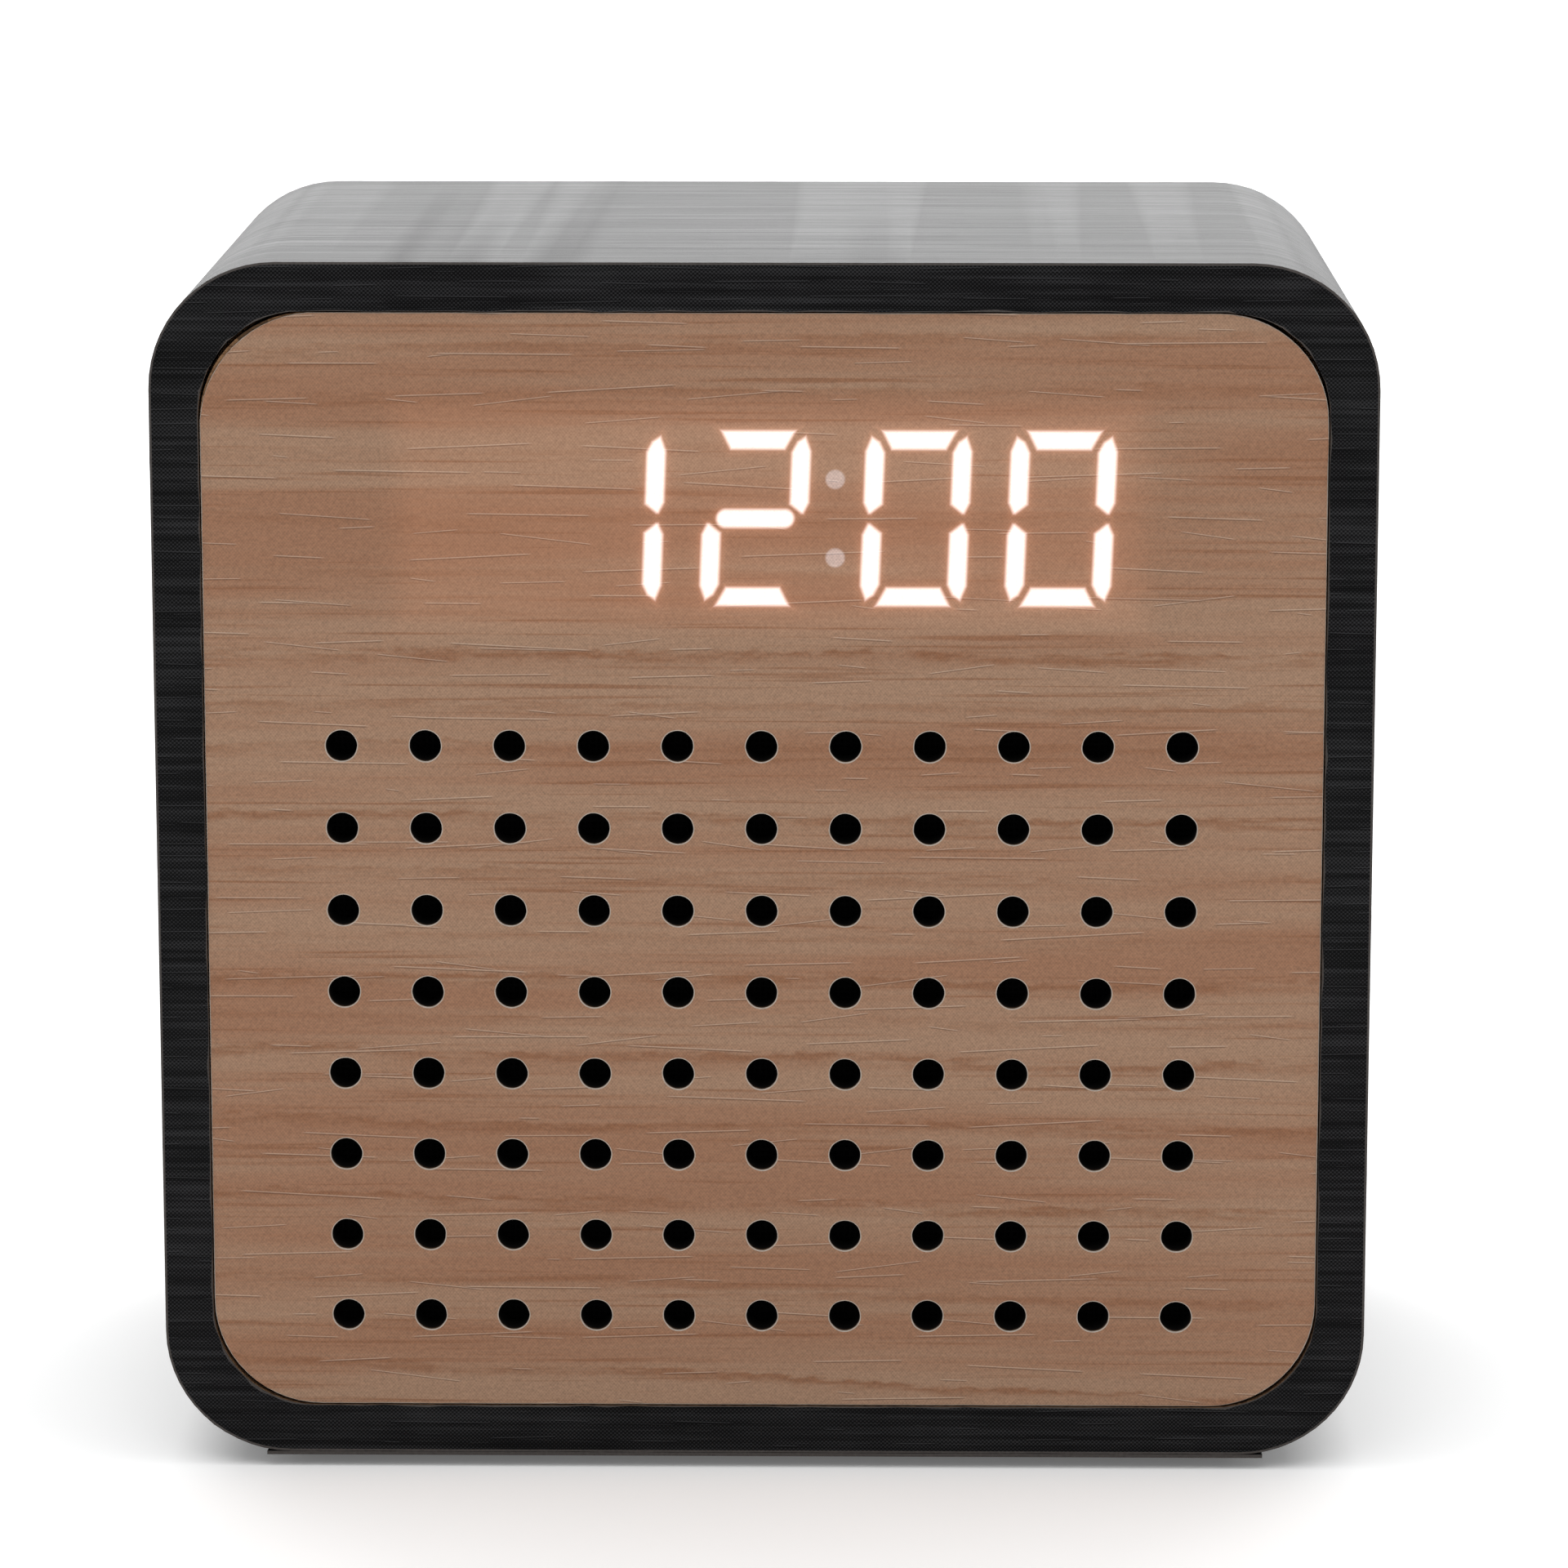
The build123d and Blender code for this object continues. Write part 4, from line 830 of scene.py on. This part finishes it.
paper = Finish("cone_paper", roughness=0.85, specular_ior_level=0.15)
pulp = paper.cloud((0.7, 0.7, 0.7), 5)
ribs = paper.waves(from_speaker_axis(paper), 1.6)
paper.give("Base Color", paper.mixed(pulp, (0.008, 0.008, 0.008), (0.035, 0.034, 0.033)))
paper.bump(pulp * 0.6 + ribs * 0.2, 0.08)
dress(paper, "cone", "dust_cap")

winding = Finish("copper_winding", roughness=0.32, metallic=1.0)
turns = winding.waves(winding.y, 0.18)
# Painted highlight on the crest of each turn and painted shade between the turns.
winding.give("Base Color", winding.mixed(turns * 0.5 + 0.5, (0.30, 0.10, 0.04), (0.72, 0.34, 0.18)))
winding.bump(turns * 0.5 + 0.5, 0.05)
dress(winding, "voice_coil")
dress(rubber, "surround")

spider = Finish("dipped_cloth", roughness=0.8, specular_ior_level=0.2)
folds = spider.waves(from_speaker_axis(spider), 2.2)
knit = spider.most(spider.waves(spider.x, 0.4), spider.waves(spider.z, 0.4))
spider.give("Base Color", spider.mixed(knit * 0.5 + 0.5, (0.20, 0.10, 0.025), (0.50, 0.29, 0.09)))
spider.bump(folds * 0.4 + knit * 0.1, 0.3)
dress(spider, "spider")


def insulated(name, left_colour, right_colour):
    """Soft insulation on a pair of leads: one colour left of the middle, another right of it."""
    sleeve = Finish(name, roughness=0.45, specular_ior_level=0.4)
    drawn = sleeve.cloud((0.5, 3, 3), 3)
    dusty = sleeve.mixed(sleeve.x > 0, left_colour, right_colour)
    sleeve.give("Base Color", sleeve.mixed(0.3 * drawn, dusty, (0.25, 0.2, 0.2)))
    sleeve.bump(drawn, 0.02)
    return sleeve


lead_pair = insulated("lead_pair", (0.012, 0.012, 0.013), (0.45, 0.02, 0.015))
dress(lead_pair, "speaker_leads", "battery_leads")


# ---- main board -----------------------------------------------------------------------------
# The clock's board stands on four bosses of the rear cover, with its switches toward the back.
# Its chips are moulded epoxy and its capacitors have printed sleeves.
SLEEVE_STRIPE = 3.4
CAPACITOR_REACH = 3.2

dress(circuit_board("main_board", 2.1), "main_pcb")

epoxy = moulded("moulded_epoxy", (0.007, 0.007, 0.008), (0.024, 0.024, 0.026), 0.55, 0.12, 0.02)
stripe = epoxy.smooth(abs(epoxy.waves(epoxy.x, SLEEVE_STRIPE)), 0.96, 0.99)
capacitor = epoxy.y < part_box("pcb_parts")[0].y / MM + CAPACITOR_REACH
epoxy.give("Base Color", epoxy.mixed(stripe * capacitor, epoxy.colour, (0.42, 0.42, 0.44)))
dress(epoxy, "pcb_parts")
dress(moulded("switch_plastic", (0.022, 0.022, 0.024), (0.060, 0.060, 0.064), 0.5), "push_switches")
switch_can = plated("switch_can", (0.45, 0.45, 0.46), (0.68, 0.68, 0.68), 0.28, (1.5, 1.5, 0.1))
dress(switch_can, "slide_switch_case")


# ---- rear cover -----------------------------------------------------------------------------
# A black injection-moulded plate closes the back, held by four sunk screws. Its skin carries an
# even spark texture.
BLACK_PLASTIC_LOW = (0.0065, 0.0065, 0.0072)
BLACK_PLASTIC_HIGH = (0.0200, 0.0200, 0.0215)

cover_finish = moulded("cover_plastic", BLACK_PLASTIC_LOW, BLACK_PLASTIC_HIGH, 0.5, 0.28, 0.035)
dress(cover_finish, "rear_cover", "battery_door")
black_zinc = plated("black_zinc", (0.020, 0.020, 0.023), (0.075, 0.075, 0.082), 0.36, (0.15, 1.0, 0.15))
dress(black_zinc, "cover_screws")


# ---- push buttons ---------------------------------------------------------------------------
# Five round caps stand just proud of the cover, each with a flange behind it and a stem into its
# switch. Their signs are sunk 0.2 mm and filled with pale paint.
PAINT = (0.55, 0.55, 0.53)
SIGN_DEPTH = 0.2
SIGN_REACH = 2.4
PAINT_DEPTH = 0.05


def button_finish(name, node):
    low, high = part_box(node)
    cap = moulded(name, (0.020, 0.020, 0.022), (0.046, 0.046, 0.050), 0.4, 0.35, 0.012)
    floor = high.y / MM - SIGN_DEPTH
    aside = cap.x - (low.x + high.x) / 2 / MM
    above = cap.z - (low.z + high.z) / 2 / MM
    reach = cap.math("SQRT", aside * aside + above * above)
    painted = (abs(cap.y - floor) < PAINT_DEPTH) * (reach < SIGN_REACH)
    chipped = cap.smooth(cap.cloud((0.5, 0.5, 0.5), 3), 0.28, 0.36)
    cap.give("Base Color", cap.mixed(painted * chipped, cap.colour, PAINT))
    dress(cap, node)


for word in ("mode", "set", "alarm", "down", "up"):
    button_finish("button_plastic_" + word, "button_" + word)


# ---- slide switch and power inlet -----------------------------------------------------------
# The knob of the slide switch has three grip grooves. Beside it the folded steel shell of the
# power inlet stands round a black tongue.
knob = moulded("knob_plastic", (0.010, 0.010, 0.011), (0.030, 0.030, 0.032), 0.45, 0.2, 0.015)
dress(knob, "slide_switch_knob")
shell = plated("inlet_steel", (0.50, 0.50, 0.50), (0.74, 0.74, 0.74), 0.25, (1.2, 0.1, 1.2))
dress(shell, "inlet_shell")
tongue = moulded("inlet_plastic", (0.006, 0.006, 0.007), (0.018, 0.018, 0.019), 0.5, 0.15, 0.01)
dress(tongue, "inlet_tongue")


# ---- battery compartment --------------------------------------------------------------------
# Three cells lie side by side in a moulded tray behind the door, their ends turned in turn.
# Nickel-plated plates and tapered springs in the end walls connect them.
CELL_RADIUS = 5.25
TIP_FROM = 21.4
COLLAR_FROM = 10.0
BUTT_FROM = -22.0
PRINT_EDGE = 0.1
WIRE_RADIUS = 0.35
SPRING_SEAT = 3.6
SPRING_WIDE = 3.2
SPRING_NARROW = 2.0
SPRING_LENGTH = 1.6
SPRING_TURNS = 3.5
SPRING_STEPS = 24
TUBE_STEPS = 8

dress(cover_finish, "battery_tray")
nickel = plated("nickel_plate", (0.50, 0.49, 0.46), (0.72, 0.71, 0.68), 0.26, (1.5, 0.12, 1.5))
dress(nickel, "contact_plates")

cell_low, cell_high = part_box("battery_cells")
cell_mid = (cell_low + cell_high) / 2 / MM
cell = Finish("cell_jacket", roughness=0.3, coat_weight=0.4, coat_roughness=0.15)
turned_round = cell.math("SIGN", abs(cell.z - cell_mid.z) - CELL_RADIUS)
along_cell = (cell.x - cell_mid.x) * turned_round
tip_end = cell.smooth(along_cell, TIP_FROM, TIP_FROM + PRINT_EDGE)
collar = cell.smooth(along_cell, COLLAR_FROM, COLLAR_FROM + PRINT_EDGE)
butt_end = cell.smooth(along_cell, BUTT_FROM, BUTT_FROM - PRINT_EDGE)
jacket = cell.mixed(collar, (0.020, 0.060, 0.115), (0.50, 0.24, 0.08))
scuffs = cell.cloud((4, 0.5, 0.5), 4)
jacket = cell.mixed(0.3 * scuffs, jacket, (0.10, 0.12, 0.15))
bare = cell.most(tip_end, butt_end)
cell.give("Base Color", cell.mixed(bare, jacket, (0.62, 0.61, 0.58)))
cell.give("Metallic", 0.5 + 0.5 * bare)
cell.bump(scuffs, 0.01)
dress(cell, "battery_cells")


def spring_tube(start, end, wide, narrow):
    """A tapered coil spring along X, as loops of points round its wire."""
    steps = int(SPRING_TURNS * SPRING_STEPS)
    loops = []
    for step in range(steps + 1):
        share = step / steps
        angle = 2 * math.pi * SPRING_TURNS * share
        radius = wide + (narrow - wide) * share
        axial = start.x + (end.x - start.x) * share
        out = Vector((0, math.cos(angle), math.sin(angle)))
        centre = Vector((axial, start.y, start.z)) + out * radius
        loop = []
        for turn in range(TUBE_STEPS):
            around = 2 * math.pi * turn / TUBE_STEPS
            skin = out * math.cos(around) + Vector((1, 0, 0)) * math.sin(around)
            loop.append((centre + skin * WIRE_RADIUS) * MM)
        loops.append(loop)
    points, faces = stitch(loops, closed=False)
    faces += [tuple(range(TUBE_STEPS)), tuple(range(len(points) - TUBE_STEPS, len(points)))]
    return points, faces


spring_low, spring_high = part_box("contact_springs")
cell_pitch = ((spring_high.z - spring_low.z) / MM - 2 * SPRING_SEAT) / 2
spring_points = []
spring_faces = []
for place in (-1, 0, 1):
    side = 1 if place == 0 else -1
    plate_x = spring_high.x if side > 0 else spring_low.x
    start = Vector((plate_x / MM - side * WIRE_RADIUS, cell_mid.y, cell_mid.z + place * cell_pitch))
    end = start - Vector((side * SPRING_LENGTH, 0, 0))
    points, faces = spring_tube(start, end, SPRING_WIDE, SPRING_NARROW)
    spring_faces += [tuple(number + len(spring_points) for number in face) for face in faces]
    spring_points += points
springs = new_piece("coil_springs", spring_points, spring_faces, nickel)
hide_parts("contact_springs")
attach(springs, "case")


# ---- studio ---------------------------------------------------------------------------------
# A wide pale floor, large soft lights above, behind and in front, and a camera that looks a
# little down on the front from just right of the middle.
FLOOR_HALF = 6.0
CAMERA_PLACE = (0.00867, -0.55622, 0.16082)
CAMERA_AIM = (0.00165, -0.0325, 0.05838)
CAMERA_LENS = 149.3
SENSOR = 36.0
WORLD_LIGHT = 0.45

floor_finish = Finish("pale_floor", roughness=0.9, specular_ior_level=0.1, emission_strength=0.12)
floor_finish.give("Emission Color", (1, 1, 1))
floor_mottle = floor_finish.cloud((40, 40, 40), 3)
floor_finish.give("Base Color", floor_finish.mixed(floor_mottle, (0.93, 0.93, 0.93), (0.96, 0.96, 0.96)))
floor_corners = [(-FLOOR_HALF, -FLOOR_HALF, 0), (FLOOR_HALF, -FLOOR_HALF, 0)]
floor_corners += [(FLOOR_HALF, FLOOR_HALF, 0), (-FLOOR_HALF, FLOOR_HALF, 0)]
floor = new_piece("floor", floor_corners, [(0, 1, 2, 3)], floor_finish)


def softbox(name, place, target, width, height, power):
    light = bpy.data.lights.new(name, "AREA")
    light.shape = "RECTANGLE"
    light.size = width
    light.size_y = height
    light.energy = power
    lamp = bpy.data.objects.new(name, light)
    lamp.location = place
    lamp.rotation_euler = (Vector(target) - Vector(place)).to_track_quat("-Z", "Y").to_euler()
    lamp.visible_camera = False
    bpy.context.scene.collection.objects.link(lamp)


middle = (0, 0, FACE_Z * MM)
softbox("overhead", (0, 0.4, 1.6), (0, 0.4, 0), 2.6, 2.6, 30)
softbox("behind", (0, 2.4, 0.8), middle, 4.4, 1.3, 57)
softbox("key", (-0.05, -0.56, 0.66), middle, 0.5, 0.3, 0.8)

world = bpy.data.worlds.new("studio")
world.use_nodes = True
world.node_tree.nodes["Background"].inputs["Color"].default_value = (1, 1, 1, 1)
world.node_tree.nodes["Background"].inputs["Strength"].default_value = WORLD_LIGHT
bpy.context.scene.world = world
bpy.context.scene.view_settings.view_transform = "Standard"

camera = bpy.data.objects.new("camera", bpy.data.cameras.new("camera"))
camera.data.sensor_width = SENSOR
camera.data.lens = CAMERA_LENS
camera.location = CAMERA_PLACE
camera.rotation_euler = (Vector(CAMERA_AIM) - Vector(CAMERA_PLACE)).to_track_quat("-Z", "Y").to_euler()
bpy.context.scene.collection.objects.link(camera)
bpy.context.scene.camera = camera
